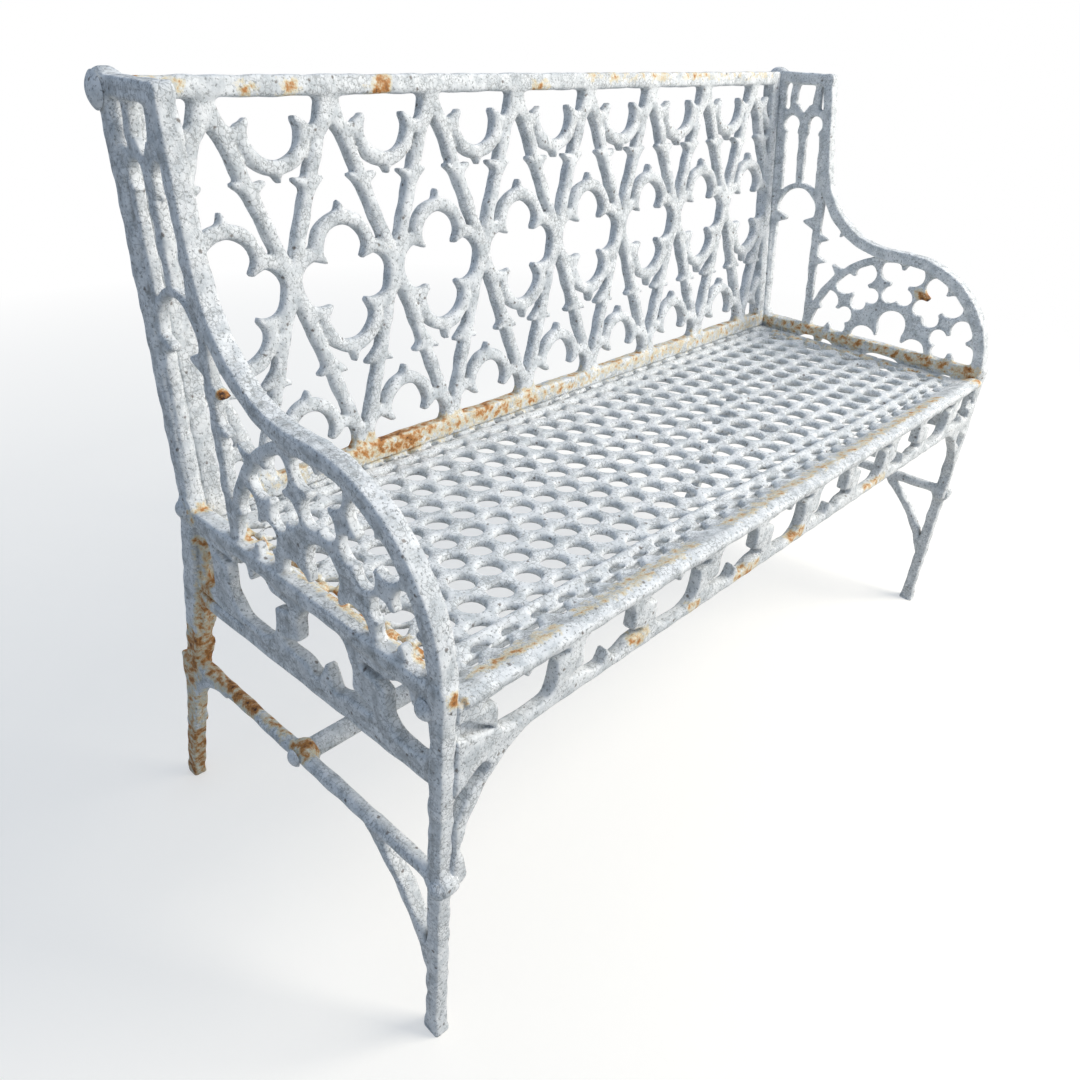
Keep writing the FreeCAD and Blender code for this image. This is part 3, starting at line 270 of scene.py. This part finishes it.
def backField(x, through, rise):
    # Bars, rings and points repeat along the bench, so each is drawn once from its nearest column
    half = backSizes["pitch"] / 2
    cross = np.abs((x + half) % (2 * half) - half)  # from the nearest crossing of two bars
    node = half - cross  # from the nearest column of rings
    meeting = (0, backSizes["barCross"])
    bars = [bar(cross, rise, (half, backSizes["barTop"]), meeting, backSizes["barHalf"]),
            bar(cross, rise, meeting, (half, backSizes["barFoot"]), backSizes["barHalf"])]
    foil = np.minimum(disc(node, rise, (0, 226), 27.5), disc(node, rise, (0, 159), 28))
    foil = np.minimum(foil, disc(node, rise, (33.5, 196), 24.5))
    foil = np.minimum(foil, disc(node, rise, (0, 196), 28))
    cup = np.minimum(disc(cross, rise, (0, 350), 28), disc(cross, rise, (43, 368), 15))
    cup = np.minimum(cup, np.maximum(cross - 50, 362 - rise))
    arch = np.minimum(disc(cross, rise, (0, 37), 25.5), disc(cross, rise, (41, 19), 14))
    arch = np.minimum(arch, np.maximum(cross - 50, rise - 25))
    band = backSizes["ringBand"] / 2
    rings = [np.abs(hole - band) - band for hole in (foil, cup, arch)]
    tipPlaces = ((node, (0, 264), (0, 277)), (node, (0, 121), (0, 106)), (cross, (0, 312), (0, 301)),
                 (cross, (0, 72), (0, 85)))
    tips = [bar(across, rise, start, end, backSizes["tipHalf"], 2) for across, start, end in tipPlaces]
    cuspPlaces = ((node, (32, 224), (24, 217.5)), (node, (32, 164), (24, 170)),
                  (cross, (34, 352), (26.5, 358)), (cross, (32, 34), (25, 27)))
    cusps = [bar(across, rise, start, end, backSizes["cuspHalf"], 2.5) for across, start, end in cuspPlaces]
    buds = []
    for reach in (-backSizes["budReach"], backSizes["budReach"]):  # leaf buds on both sides of the bars
        buds += [bar(cross, rise, (34, 295), (34 + reach, 302), backSizes["budHalf"], 3),
                 bar(cross, rise, (36, 107), (36 + reach, 100), backSizes["budHalf"], 3)]
    lattice = union(bars + rings + tips + cusps + buds, 3.5)
    end, top, foot = backSizes["length"] / 2, backSizes["height"], backSizes["underside"]
    lattice = np.maximum(lattice, slab(x, rise, (-end, foot + 2), (end, top - 1)))
    rails = np.minimum(slab(x, rise, (-end, backSizes["topRail"]), (end, top)),
                       slab(x, rise, (-end, foot), (end, backSizes["footRail"])))
    rails = np.minimum(rails, slab(np.abs(x), rise, (end - backSizes["post"], foot), (end, top)))
    whole = blend(thick(lattice, through, backSizes["latticeHalf"], 5.5),
                  thick(rails, through, backSizes["railHalf"], 3), 3)
    return whole + lumps(x, rise, through)


def backPlace(points):  # leant back about the foot of the panel
    lean = math.radians(backSizes["lean"])
    depth, foot = backSizes["foot"]
    y = frontLine + depth + points[:, 1] * math.cos(lean) + points[:, 2] * math.sin(lean)
    z = foot - points[:, 1] * math.sin(lean) + points[:, 2] * math.cos(lean)
    return np.stack([points[:, 0], y, z], 1)


backLow = (-558, -16, -24)
backAxes = grid(backLow, (558, 16, 406), backSizes["step"])
backPanel = casting("back_panel_cast", "back_panel", backField(*backAxes), backLow, backSizes["step"],
                    backPlace)


# The end castings: arm, wing, post and legs as a rim, with thinner tracery inside it

endSizes = dict(step=2.2, middle=562, rimHalf=10, legHalf=8.3, legMiddle=3.2, traceryHalf=6, apronHalf=7,
                apronMiddle=1, rose=(147, 430), armRadius=147.5, armHalf=8.7, stretcherHalf=8.2,
                traceryEdge=1.5)
rosePetals = (18, 54, 90, 126, 162)  # degrees
boltBosses = (((-7, 216), 11), ((384, 432), 13), ((9, 411), 11))  # place, radius
legCollars = (((428, 205), 17, 2), ((-3, 217), 14.5, 1), ((210, 215), 15.5, -3))  # place, radius, outward
seatLugs = (((74, 393), (106, 403)), ((314, 393), (380, 403)))


def chain(p, q, points, half):  # a bar through several points
    return union([bar(p, q, points[k], points[k + 1], half) for k in range(len(points) - 1)], 3)


def rimFlat(d, z):  # the arm as two arcs, the wing's front bar and top, the post and the side rail
    half = endSizes["armHalf"]
    arm = [bow(d, z, endSizes["rose"], endSizes["armRadius"], half, 90, 184),
           bar(d, z, (147, 577.5), (174, 577.5), half), bow(d, z, (174, 722), 144.5, half, -90, -10),
           bar(d, z, (316.3, 696.9), (338.9, 822), 8)]
    wing = [bar(d, z, (339, 821), (428, 821), 8.5), bar(d, z, (382, 432), (427, 820), 9.5)]
    return union(arm + wing + [bar(d, z, (0, 427), (395, 427), 8)], 4)


def legsFlat(d, z):  # the splayed rear leg, the front leg, the front's curved brace and the rear's gusset
    rear = [bar(d, z, (379, 436), (412, 250), 12), bar(d, z, (412, 250), (451, 100), 11.5, 10),
            bar(d, z, (451, 100), (472, 12), 10, 8.5), bar(d, z, (472, 12), (473, 3), 8.5, 9.8)]
    front = [bar(d, z, (-4.5, 432), (0.3, 8), 8.4, 8), bar(d, z, (0, 14), (0.3, 3), 8, 11)]
    brace = chain(d, z, ((88, 216), (78, 205.6), (43.5, 172), (19.4, 136.5), (5, 102)), 5.4)
    gusset = carve(slab(d, z, (345, 110), (446, 217), 2), disc(d, z, (345, 118), 88), 2)
    return union(rear + front + [brace, gusset], 5)


def roseFlat(d, z):  # half a disc, less five petals and a trefoil
    rose = np.maximum(disc(d, z, endSizes["rose"], 143), 424 - z)
    edge = endSizes["traceryEdge"]
    for turn in rosePetals:  # each petal has four lobes round a middle
        along = (math.cos(math.radians(turn)), math.sin(math.radians(turn)))
        reach = (d - 150) * along[0] + (z - 429) * along[1]
        aside = np.abs((z - 429) * along[0] - (d - 150) * along[1])
        petal = np.minimum(disc(reach, aside, (125, 18.5), 17.2), disc(reach, aside, (88, 11.5), 13.3))
        rose = carve(rose, np.minimum(petal, bar(reach, aside, (102, 0), (116, 0), 14)), edge)
    trefoil = np.minimum(disc(d, z, (148, 469), 23.5), slab(d, z, (128, 415), (168, 470), 2))
    for spot, radius in (((191, 436), 21), ((105, 435), 20)):
        trefoil = np.minimum(trefoil, disc(d, z, spot, radius))
    return carve(rose, np.minimum(trefoil, slab(d, z, (88, 410), (210, 445), 2)), edge)


def wingFlat(d, z):
    # A web behind the rose with a tall opening, two lancets and three small openings, all leaning
    edge = endSizes["traceryEdge"]
    front = np.interp(z, (430, 650, 697, 822), (289, 308, 317, 339))
    rear = 382 + (z - 432) * 0.1237
    web = np.maximum(np.maximum(front - d, d - rear), np.maximum(430 - z, z - 824))
    off = np.abs(d - 353.5) - 16
    body = np.maximum(302 + (z - 440) * 0.1 - d, d - 372 - (z - 440) * 0.087)
    body = np.maximum(body, np.maximum(434 - z, z - 602 + 0.45 * off))
    head = np.maximum(disc(d, z, (354.5, 620), 34.5), 606 - z + 0.45 * off)
    web = carve(web, np.minimum(np.minimum(body, head), slab(d, z, (338, 590), (370, 622), 2)), edge)
    arch = 44 - np.hypot(d - 354.5, z - 620)  # the lancets stand on the arch of the tall opening
    for middle, crown, radius in ((377.5, (391, 752), 13.5), (340.5, (349, 755), 12.5)):
        away = np.abs(d - middle - (z - 660) * 0.121)
        lancet = np.maximum(np.maximum(away - 12, np.abs(z - 688) - 50), arch)
        lancet = np.minimum(lancet, np.maximum(away - 9, np.abs(z - 741) - 6))
        web = carve(web, np.minimum(lancet, disc(d, z, crown, radius)), edge)
    eye = np.minimum(slab(d, z, (361, 783), (390, 812), 3), bar(d, z, (375, 771), (375, 788), 1, 13))
    eye = np.minimum(eye, bar(d, z, (405, 778), (408, 809), 5))
    web = carve(web, np.minimum(eye, bar(d, z, (343, 781), (345, 809), 4.2)), edge)
    buds = [bar(d, z, (306, 581), (289, 581), 9, 2), bar(d, z, (303, 545), (285, 545), 9, 2),
            bar(d, z, (258, 606), (266, 592), 9, 2), bar(d, z, (254, 533), (269, 543), 8, 2)]
    return union([web, bow(d, z, endSizes["rose"], 145, 6, 0, 90)] + buds, 3)


def sideApronFlat(d, z):
    # Four openings under the side rail, with scrolled tails and a leaf point from above and below in turn
    panel = np.maximum(slab(d, z, (0, 334), (394, 430), 2), 337 - 0.0375 * d - z)
    frontCorner = blend(slab(d, z, (6, 351), (63, 413), 22), bar(d, z, (58, 399), (92, 402), 8, 4), 3)
    rearHole = blend(slab(d, z, (229, 345), (311, 419), 30), bar(d, z, (242, 397), (207, 401), 9, 4), 3)
    rearHole = blend(rearHole, bar(d, z, (304, 401), (331, 403), 8, 4), 3)
    rearHole = carve(rearHole, bar(d, z, (268, 430), (268, 404), 14, 2), 2)
    frontHole = blend(slab(d, z, (109, 346), (191, 417), 30), bar(d, z, (178, 364), (211, 358), 11, 5), 3)
    frontHole = blend(frontHole, bar(d, z, (120, 362), (86, 358), 10, 4.5), 3)
    frontHole = carve(frontHole, bar(d, z, (150, 332), (149, 368), 18, 2), 2)
    for hole in (frontCorner, rearHole, frontHole, slab(d, z, (344, 349), (382, 410), 14)):
        panel = carve(panel, hole, 2)
    leaf = bar(d, z, (26, 419), (27, 402), 11, 2)
    return union([panel, leaf, bar(d, z, (0, 336), (398, 321), 8)], 3)


def endField(through, d, z):
    # Each flat shape with its own thickness, then the round parts, all blended as one casting
    flatD, flatZ = d[0], z[0]
    legMiddle = endSizes["legMiddle"]
    whole = thick(rimFlat(flatD, flatZ)[None], through, endSizes["rimHalf"], 2.5)
    legs = thick(legsFlat(flatD, flatZ)[None], through - legMiddle, endSizes["legHalf"], 2.5)
    whole = blend(whole, legs, 4)
    for web in (roseFlat, wingFlat):
        whole = blend(whole, thick(web(flatD, flatZ)[None], through, endSizes["traceryHalf"], 3), 2.5)
    sideApron = sideApronFlat(flatD, flatZ)[None]
    whole = blend(whole, thick(sideApron, through - endSizes["apronMiddle"], endSizes["apronHalf"], 3), 3)
    line = bar(flatD, flatZ, (0, 219), (426, 214), 0)[None]
    stretcher = np.hypot(line, through - legMiddle) - endSizes["stretcherHalf"]
    whole = blend(whole, stretcher, 4)
    for spot, radius in boltBosses:
        whole = blend(whole, thick(disc(flatD, flatZ, spot, radius)[None], through - 1, 10.5, 4), 3)
    whole = blend(whole, thick(disc(flatD, flatZ, (431, 817), 18)[None], through - 1, 10.8, 8), 3)
    for spot, radius, out in legCollars:  # slightly flattened balls
        outward = (through - out) * 1.2
        ball = np.sqrt((d - spot[0]) ** 2 + ((z - spot[1]) * 1.05) ** 2 + outward ** 2) - radius
        whole = blend(whole, ball, 4)
    # Under the seat the rear leg has a flange to the inside, hollowed at its front
    face = 367 + (432 - z) * 0.1813 - 0.1 * np.clip(z - 240, 0, 80)
    reach = 8 + 18 * np.clip((z - 222) / 110, 0, 1)
    flange = np.maximum(np.abs(d - face - 6) - 6, np.abs(z - 312) - 98)
    flange = np.maximum(flange, np.maximum(through - 4, -through - reach))
    pocket = (np.hypot((through + 11) / 9, (z - 322) / 66) - 1) * 9
    flange = carve(flange, np.maximum(pocket, d - face - 7), 2)
    whole = blend(whole, flange, 3)
    for low, high in seatLugs:
        whole = np.minimum(whole, np.maximum(slab(d, z, low, high, 2), np.abs(through + 13) - 12.8))
    return whole + lumps(d, z, through)


def endPlace(points, side):  # out to the left, side -1, or to the right, side 1
    x = side * (endSizes["middle"] + points[:, 0])
    return np.stack([x, points[:, 1] + frontLine, points[:, 2]], 1)


endLow = (-29, -26, -6)
endAxes = grid(endLow, (16, 492, 842), endSizes["step"])
endValues = endField(*endAxes)
ends = []
for side, word in ((-1, "left"), (1, "right")):
    ends.append(casting("end_cast_" + word, "end_frame_" + word, endValues, endLow, endSizes["step"],
                        lambda points: endPlace(points, side), side < 0))


# The seat: a pierced plate with small triangles along its border, and a rolled front edge

seatSizes = dict(step=2.5, top=415, foot=405.5, half=551.5, front=4, rear=384.5, pitch=37.6, row=33.4,
                 firstRow=84, rows=8, holeRadius=12.8, lastHole=508, fieldFront=51, fieldRear=351,
                 fieldEnd=512, triangleWide=1.2, railFoot=412, railTop=412.1)
seatNose = [(18, 415.5), (-4, 424.5), (-16, 421), (-17, 416), (-12, 408), (14, 406)]
seatRails = ((45.5, 4.6), (358, 4))  # depth, half width
farOff = 1e3  # mm; no iron or hole near


def triangle(p, q, radius):  # three half planes
    return np.maximum(-q - radius / 2, np.abs(p) * 0.866 + q / 2 - radius / 2)


def convex(p, q, corners):  # an outline of straight edges, its corners taken anticlockwise
    far = np.full(np.broadcast(p, q).shape, -farOff)
    for start, end in zip(corners, corners[1:] + corners[:1]):
        run, rise = end[0] - start[0], end[1] - start[1]
        far = np.maximum(far, ((p - start[0]) * rise - (q - start[1]) * run) / math.hypot(run, rise))
    return far


def nearest(p, spacing, shift=0):  # from the nearest of a row of places
    return (p - shift + spacing / 2) % spacing - spacing / 2


def seatField(x, d, z):
    # A plate less staggered round holes and two rows of triangles round them, with a rolled front edge
    x2, d2 = x[:, :, 0], d[:, :, 0]
    pitch, row, half = seatSizes["pitch"], seatSizes["row"], seatSizes["half"]
    flat = slab(x2, d2, (-half, seatSizes["front"]), (half, seatSizes["rear"]), 3)
    order = np.clip(np.floor((d2 - seatSizes["firstRow"]) / row), -1, seatSizes["rows"])
    holes = np.full(np.broadcast(x2, d2).shape, farOff)
    for line in (order, order + 1):
        along = nearest(x2, pitch, np.where(line % 2 == 1, pitch / 2, 0))
        across = d2 - seatSizes["firstRow"] - line * row
        inField = (line >= -1) & (line <= seatSizes["rows"]) & (np.abs(x2 - along) < seatSizes["lastHole"])
        hole = np.hypot(along, across) - seatSizes["holeRadius"]
        holes = np.where(inField, np.minimum(holes, hole), holes)
    past = np.maximum(seatSizes["fieldFront"] - d2, d2 - seatSizes["fieldRear"])
    flat = carve(flat, np.maximum(holes, past), 2)  # half holes at the border rails
    wide, end = seatSizes["triangleWide"], seatSizes["fieldEnd"]
    borders = ((38, 0, 1, 11), (24, pitch / 2, -1, 11), (366, 0, -1, 9), (371, pitch / 2, 1, 9))
    for depth, shift, turn, radius in borders:
        cut = triangle(nearest(x2, pitch, shift) / wide, turn * (d2 - depth), radius)
        flat = carve(flat, np.maximum(cut, np.abs(x2) - end), 1)
    for aside, shift, turn in ((521, 0, -1), (535, row / 2, 1)):
        cut = triangle(nearest(d2, row, shift) / wide, turn * (np.abs(x2) - aside), 10)
        flat = carve(flat, np.maximum(cut, np.abs(d2 - 200) - 165), 1)
    middle = (seatSizes["top"] + seatSizes["foot"]) / 2
    plate = thick(flat[:, :, None], z - middle, (seatSizes["top"] - seatSizes["foot"]) / 2, 4)
    nose = np.maximum(convex(d, z, seatNose), np.abs(x) - half)
    low, high = seatSizes["railFoot"], seatSizes["railTop"]
    front, rear = [bar(d, z, (depth, low), (depth, high), railHalf) for depth, railHalf in seatRails]
    rails = np.maximum(np.minimum(front, rear), np.abs(x) - end)
    whole = blend(blend(plate, nose, 3), rails, 3)
    return whole + lumps(x, d, z, 0.3)


seatLow = (-557, -26, 397)
seatAxes = grid(seatLow, (557, 391, 437), seatSizes["step"])
seatGrille = casting("seat_cast", "seat_grille", seatField(*seatAxes), seatLow, seatSizes["step"],
                     toFrontLine)


# The front apron: a pierced band of scrolls, and a hollow curved bracket at each end

apronSizes = dict(step=2.4, half=551.5, end=558, front=-14, thick=14, top=418, foot=350, middle=387.5,
                  pitch=110.3, shift=20, openings=10, openEnd=540)


def apronField(x, d, z):
    # A band less ten openings, and a bracket less a quarter disc at each end
    x2, z2 = x[:, 0, :], z[:, 0, :]
    half, pitch, shift, count = [apronSizes[key] for key in ("half", "pitch", "shift", "openings")]
    band = slab(x2, z2, (-half, apronSizes["foot"]), (half, apronSizes["top"]), 2)
    order = np.floor((x2 - shift + count / 2 * pitch) / pitch)
    for line in (order - 1, order, order + 1):  # openings with a leaf point from above and below in turn
        turn = np.where(line % 2 == 0, 1.0, -1.0)
        along = (x2 - (line - (count - 1) / 2) * pitch - shift) * turn
        rise = (z2 - apronSizes["middle"]) * turn
        hole = slab(along, rise, (-36, -28), (36, 27), 22)
        for side in (1, -1):  # scrolled tails
            hole = blend(hole, bar(along, rise, (side * 26, 14), (side * 49, 16), 7, 3), 3)
        hole = carve(hole, bar(along, rise, (0, 38), (0, 16), 16, 2), 2)
        hole = np.where((line >= 0) & (line < count), hole, farOff)
        band = carve(band, np.maximum(hole, np.abs(x2) - apronSizes["openEnd"]), 2)
    away = np.abs(x2)
    end = apronSizes["end"]
    corner = carve(slab(away, z2, (444, 212), (end, 362), 2), disc(away, z2, (430, 235), 121), 2)
    gap = blend(bar(away, z2, (556, 292), (550, 316), 1, 7), bar(away, z2, (549, 319), (528, 331), 8, 8), 4)
    foot = bar(away, z2, (553, 246), (551, 220), 5, 9)
    flat = union([band, corner, foot, slab(away, z2, (541, 318), (end, apronSizes["top"]), 2)], 3)
    flat = carve(flat, gap, 2)
    slit = np.maximum(bar(away, z2, (551, 388), (514, 371), 9, 1)[:, None, :], d - apronSizes["front"] - 7)
    middle = apronSizes["front"] + apronSizes["thick"] / 2
    whole = thick(flat[:, None, :], d - middle, apronSizes["thick"] / 2, 2.5)
    return carve(whole, slit, 2) + lumps(x, z, d)


apronLow = (-561, -20, 198)
apronAxes = grid(apronLow, (561, 6, 424), apronSizes["step"])
apron = casting("apron_cast", "front_apron", apronField(*apronAxes), apronLow, apronSizes["step"],
                toFrontLine)


# Materials

def linear(hexCode):  # an sRGB hex colour to linear light
    parts = [int(hexCode[k:k + 2], 16) / 255 for k in (1, 3, 5)]
    return [c / 12.92 if c <= 0.04045 else ((c + 0.055) / 1.055) ** 2.4 for c in parts] + [1]


def addNode(tree, kind, inputs=None, **settings):
    node = tree.nodes.new(kind)
    for key, value in settings.items():
        setattr(node, key, value)
    for key, value in (inputs or {}).items():
        if isinstance(value, bpy.types.NodeSocket):
            tree.links.new(value, node.inputs[key])
        else:
            node.inputs[key].default_value = value
    return node


def newMaterial(name):
    made = bpy.data.materials.new(name)
    made.use_nodes = True
    made.node_tree.nodes.clear()
    return made, made.node_tree


# one dark colour serves for both dirt and painted shade in creases and hollows
paintLook = dict(paint="#EAEDEF", worn="#C5CBCF", crack="#85898A", chip="#54473B", cream="#E0D2AC",
                 rust="#B9782F", deep="#432412", dirtAndShade="#6F6A60", crackMm=6.5, pitMm=2.8, patchMm=15,
                 rustMm=11, chipMm=17, crazeMm=38, wander=0.004, dirtAndShadeNoise=0.35, rustSwing=2.4, pitDepth=0.6,
                 roughness=0.6, bump=0.45, relief=0.0012)
paintRanges = dict(worn=(0.42, 0.66), crazed=(0.36, 0.58, 0.62), crack=(0.09, 0.0), pit=(0.45, 0.34, 0.75),
                   dirtAndShade=(0.68, 0.98, 0.68), chip=(0.13, 0.07, 0.75), cream=(0.45, 0.75, 0.85),
                   rust=(0.72, 0.98, 0.95), deep=(1.02, 1.35))  # none at, most at, how much


def perMetre(mm):  # pattern scale for features of this size
    return 1000 / mm


def ramp(tree, value, low, high, most=1.0):  # 0 below low, up to most above high
    return addNode(tree, "ShaderNodeMapRange", {"Value": value, "From Min": low, "From Max": high,
                                                "To Max": most}).outputs["Result"]


def mathNode(tree, operation, *values):
    return addNode(tree, "ShaderNodeMath", dict(enumerate(values)), operation=operation).outputs[0]


def paintedIron():
    # Old white oil paint, crazed, pitted and chipped, over cast iron that rusts where the paint has gone
    made, tree = newMaterial("white_paint_on_cast_iron")
    place = addNode(tree, "ShaderNodeTexCoord").outputs["Object"]

    def noise(mm, detail, roughness=0.6):
        made = addNode(tree, "ShaderNodeTexNoise", {"Vector": place, "Scale": perMetre(mm), "Detail": detail,
                                                    "Roughness": roughness})
        return made.outputs["Fac"], made.outputs["Color"]

    def mixed(amount, under, key):
        return addNode(tree, "ShaderNodeMix", {"Factor": amount, "A": under, "B": linear(paintLook[key])},
                       data_type="RGBA").outputs["Result"]

    def share(value, key):
        return ramp(tree, value, *paintRanges[key])

    patches = noise(paintLook["patchMm"], 5.0)[0]
    pits, wander = noise(paintLook["pitMm"], 3.0)
    rustNoise = noise(paintLook["rustMm"], 6.0, 0.68)[0]
    bent = addNode(tree, "ShaderNodeVectorMath", {0: wander, 1: [paintLook["wander"]] * 3, 2: place},
                   operation="MULTIPLY_ADD").outputs[0]
    cells = addNode(tree, "ShaderNodeTexVoronoi", {"Vector": bent, "Scale": perMetre(paintLook["crackMm"])},
                    feature="DISTANCE_TO_EDGE").outputs["Distance"]
    chips = addNode(tree, "ShaderNodeTexVoronoi", {"Vector": bent, "Scale": perMetre(paintLook["chipMm"])})
    rust = addNode(tree, "ShaderNodeAttribute", attribute_name="rust").outputs["Fac"]
    hollow = addNode(tree, "ShaderNodeAttribute", attribute_name="hollow").outputs["Fac"]
    colour = mixed(share(patches, "worn"), linear(paintLook["paint"]), "worn")
    crazed = share(noise(paintLook["crazeMm"], 2.0)[0], "crazed")
    crack = mathNode(tree, "MULTIPLY", share(cells, "crack"), crazed)
    marks = mathNode(tree, "MAXIMUM", crack, share(pits, "pit"))
    colour = mixed(marks, colour, "crack")
    # dirt and painted shade: the paint turns darker where most of the neighbourhood is iron, in creases and
    # hollows, with noise over it
    dirtAndShadeMask = mathNode(tree, "MULTIPLY_ADD", patches, paintLook["dirtAndShadeNoise"], hollow)
    colour = mixed(share(dirtAndShadeMask, "dirtAndShade"), colour, "dirtAndShade")
    colour = mixed(share(chips.outputs["Distance"], "chip"), colour, "chip")
    swing = mathNode(tree, "MULTIPLY_ADD", rustNoise, paintLook["rustSwing"], -paintLook["rustSwing"] / 2)
    spread = mathNode(tree, "ADD", swing, rust)
    for key in ("cream", "rust", "deep"):
        colour = mixed(share(spread, key), colour, key)
    rough = mathNode(tree, "MULTIPLY_ADD", pits, paintLook["pitDepth"], patches)
    height = mathNode(tree, "SUBTRACT", rough, marks)
    bump = addNode(tree, "ShaderNodeBump", {"Height": height, "Strength": paintLook["bump"],
                                            "Distance": paintLook["relief"]})
    surface = {"Base Color": colour, "Roughness": paintLook["roughness"], "Normal": bump.outputs["Normal"]}
    shader = addNode(tree, "ShaderNodeBsdfPrincipled", surface)
    addNode(tree, "ShaderNodeOutputMaterial", {"Surface": shader.outputs[0]})
    return made


painted = paintedIron()
for piece in [backPanel, seatGrille, apron] + ends:
    piece.data.materials.append(painted)
for name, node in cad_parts.items():
    if not node.hide_render:
        node.data.materials.clear()
        node.data.materials.append(painted)
print("materials set")


# Floor, light and camera

floorLook = dict(matt="#C4C2BD", glow=0.47, fadeStart=1.3, fadeEnd=2.6, half=20000)


def floorMaterial():
    # Matt white paper: it shows the shadow by the bench and fades to plain white away from it
    made, tree = newMaterial("pale_studio_floor")
    seen = addNode(tree, "ShaderNodeLightPath").outputs["Is Camera Ray"]
    glow = addNode(tree, "ShaderNodeEmission", {"Color": linear("#FFFFFF"), "Strength": floorLook["glow"]})
    matt = addNode(tree, "ShaderNodeBsdfDiffuse", {"Color": linear(floorLook["matt"])})
    near = addNode(tree, "ShaderNodeAddShader", {0: glow.outputs[0], 1: matt.outputs[0]})
    far = addNode(tree, "ShaderNodeEmission", {"Color": linear("#FFFFFF"), "Strength": 1.0})
    place = addNode(tree, "ShaderNodeTexCoord").outputs["Object"]
    away = addNode(tree, "ShaderNodeVectorMath", {0: place}, operation="LENGTH").outputs["Value"]
    fade = ramp(tree, away, floorLook["fadeStart"], floorLook["fadeEnd"])
    shown = addNode(tree, "ShaderNodeMixShader", {0: fade, 1: near.outputs[0], 2: far.outputs[0]})
    mix = addNode(tree, "ShaderNodeMixShader", {0: seen, 1: matt.outputs[0], 2: shown.outputs[0]})
    addNode(tree, "ShaderNodeOutputMaterial", {"Surface": mix.outputs[0]})
    return made


floorPoints = np.array([(-1, -1, 0), (1, -1, 0), (1, 1, 0), (-1, 1, 0)]) * floorLook["half"]
floor = makeMesh("floor", floorPoints, np.array([[0, 1, 2, 3]]))
floor.data.materials.append(floorMaterial())

world = bpy.data.worlds.new("studio")
bpy.context.scene.world = world
world.use_nodes = True
world.node_tree.nodes.clear()
skyLook = dict(colour="#C8DAF2", strength=0.55)
seen = addNode(world.node_tree, "ShaderNodeLightPath").outputs["Is Camera Ray"]
sky = addNode(world.node_tree, "ShaderNodeBackground", {"Color": linear(skyLook["colour"]),
                                                        "Strength": skyLook["strength"]})
white = addNode(world.node_tree, "ShaderNodeBackground", {"Color": linear("#FFFFFF"), "Strength": 1.0})
shown = addNode(world.node_tree, "ShaderNodeMixShader", {0: seen, 1: sky.outputs[0], 2: white.outputs[0]})
addNode(world.node_tree, "ShaderNodeOutputWorld", {"Surface": shown.outputs[0]})

lamps = {"key_light": dict(spot=(1.9, -2.3, 2.7), aim=(0, 0, 0.4), size=2.0, power=158, colour="#FFF8EC"),
         "top_light": dict(spot=(0.3, 0.6, 3.4), aim=(0, 0, 0.4), size=2.5, power=8, colour="#FFFFFF")}
for name, lamp in lamps.items():
    light = bpy.data.lights.new(name, "AREA")
    light.size = lamp["size"]
    light.energy = lamp["power"]
    light.color = linear(lamp["colour"])[:3]
    holder = bpy.data.objects.new(name, light)
    holder.location = lamp["spot"]
    holder.rotation_euler = (Vector(lamp["aim"]) - Vector(lamp["spot"])).to_track_quat("-Z", "Y").to_euler()
    bpy.context.scene.collection.objects.link(holder)

view = dict(spot=(-0.9219, frontLine / 1000 - 0.3973, 0.8859), forward=(0.64118, 0.59711, -0.48202),
            roll=3.02, lens=29.77, shift=(0.0265, -0.0287))
ahead = Vector(view["forward"]).normalized()
levelRight = ahead.cross(Vector((0, 0, 1))).normalized()
levelUp = levelRight.cross(ahead)
turn = math.radians(view["roll"])
right = levelRight * math.cos(turn) + levelUp * math.sin(turn)
up = right.cross(ahead)
camera = bpy.data.objects.new("camera", bpy.data.cameras.new("camera"))
camera.data.lens = view["lens"]
camera.data.shift_x, camera.data.shift_y = view["shift"]
rows = [(right[k], up[k], -ahead[k], view["spot"][k]) for k in range(3)]
camera.matrix_world = Matrix(rows + [(0, 0, 0, 1)])
bpy.context.scene.collection.objects.link(camera)
bpy.context.scene.camera = camera
bpy.context.scene.view_settings.view_transform = "Standard"

bpy.context.view_layer.update()
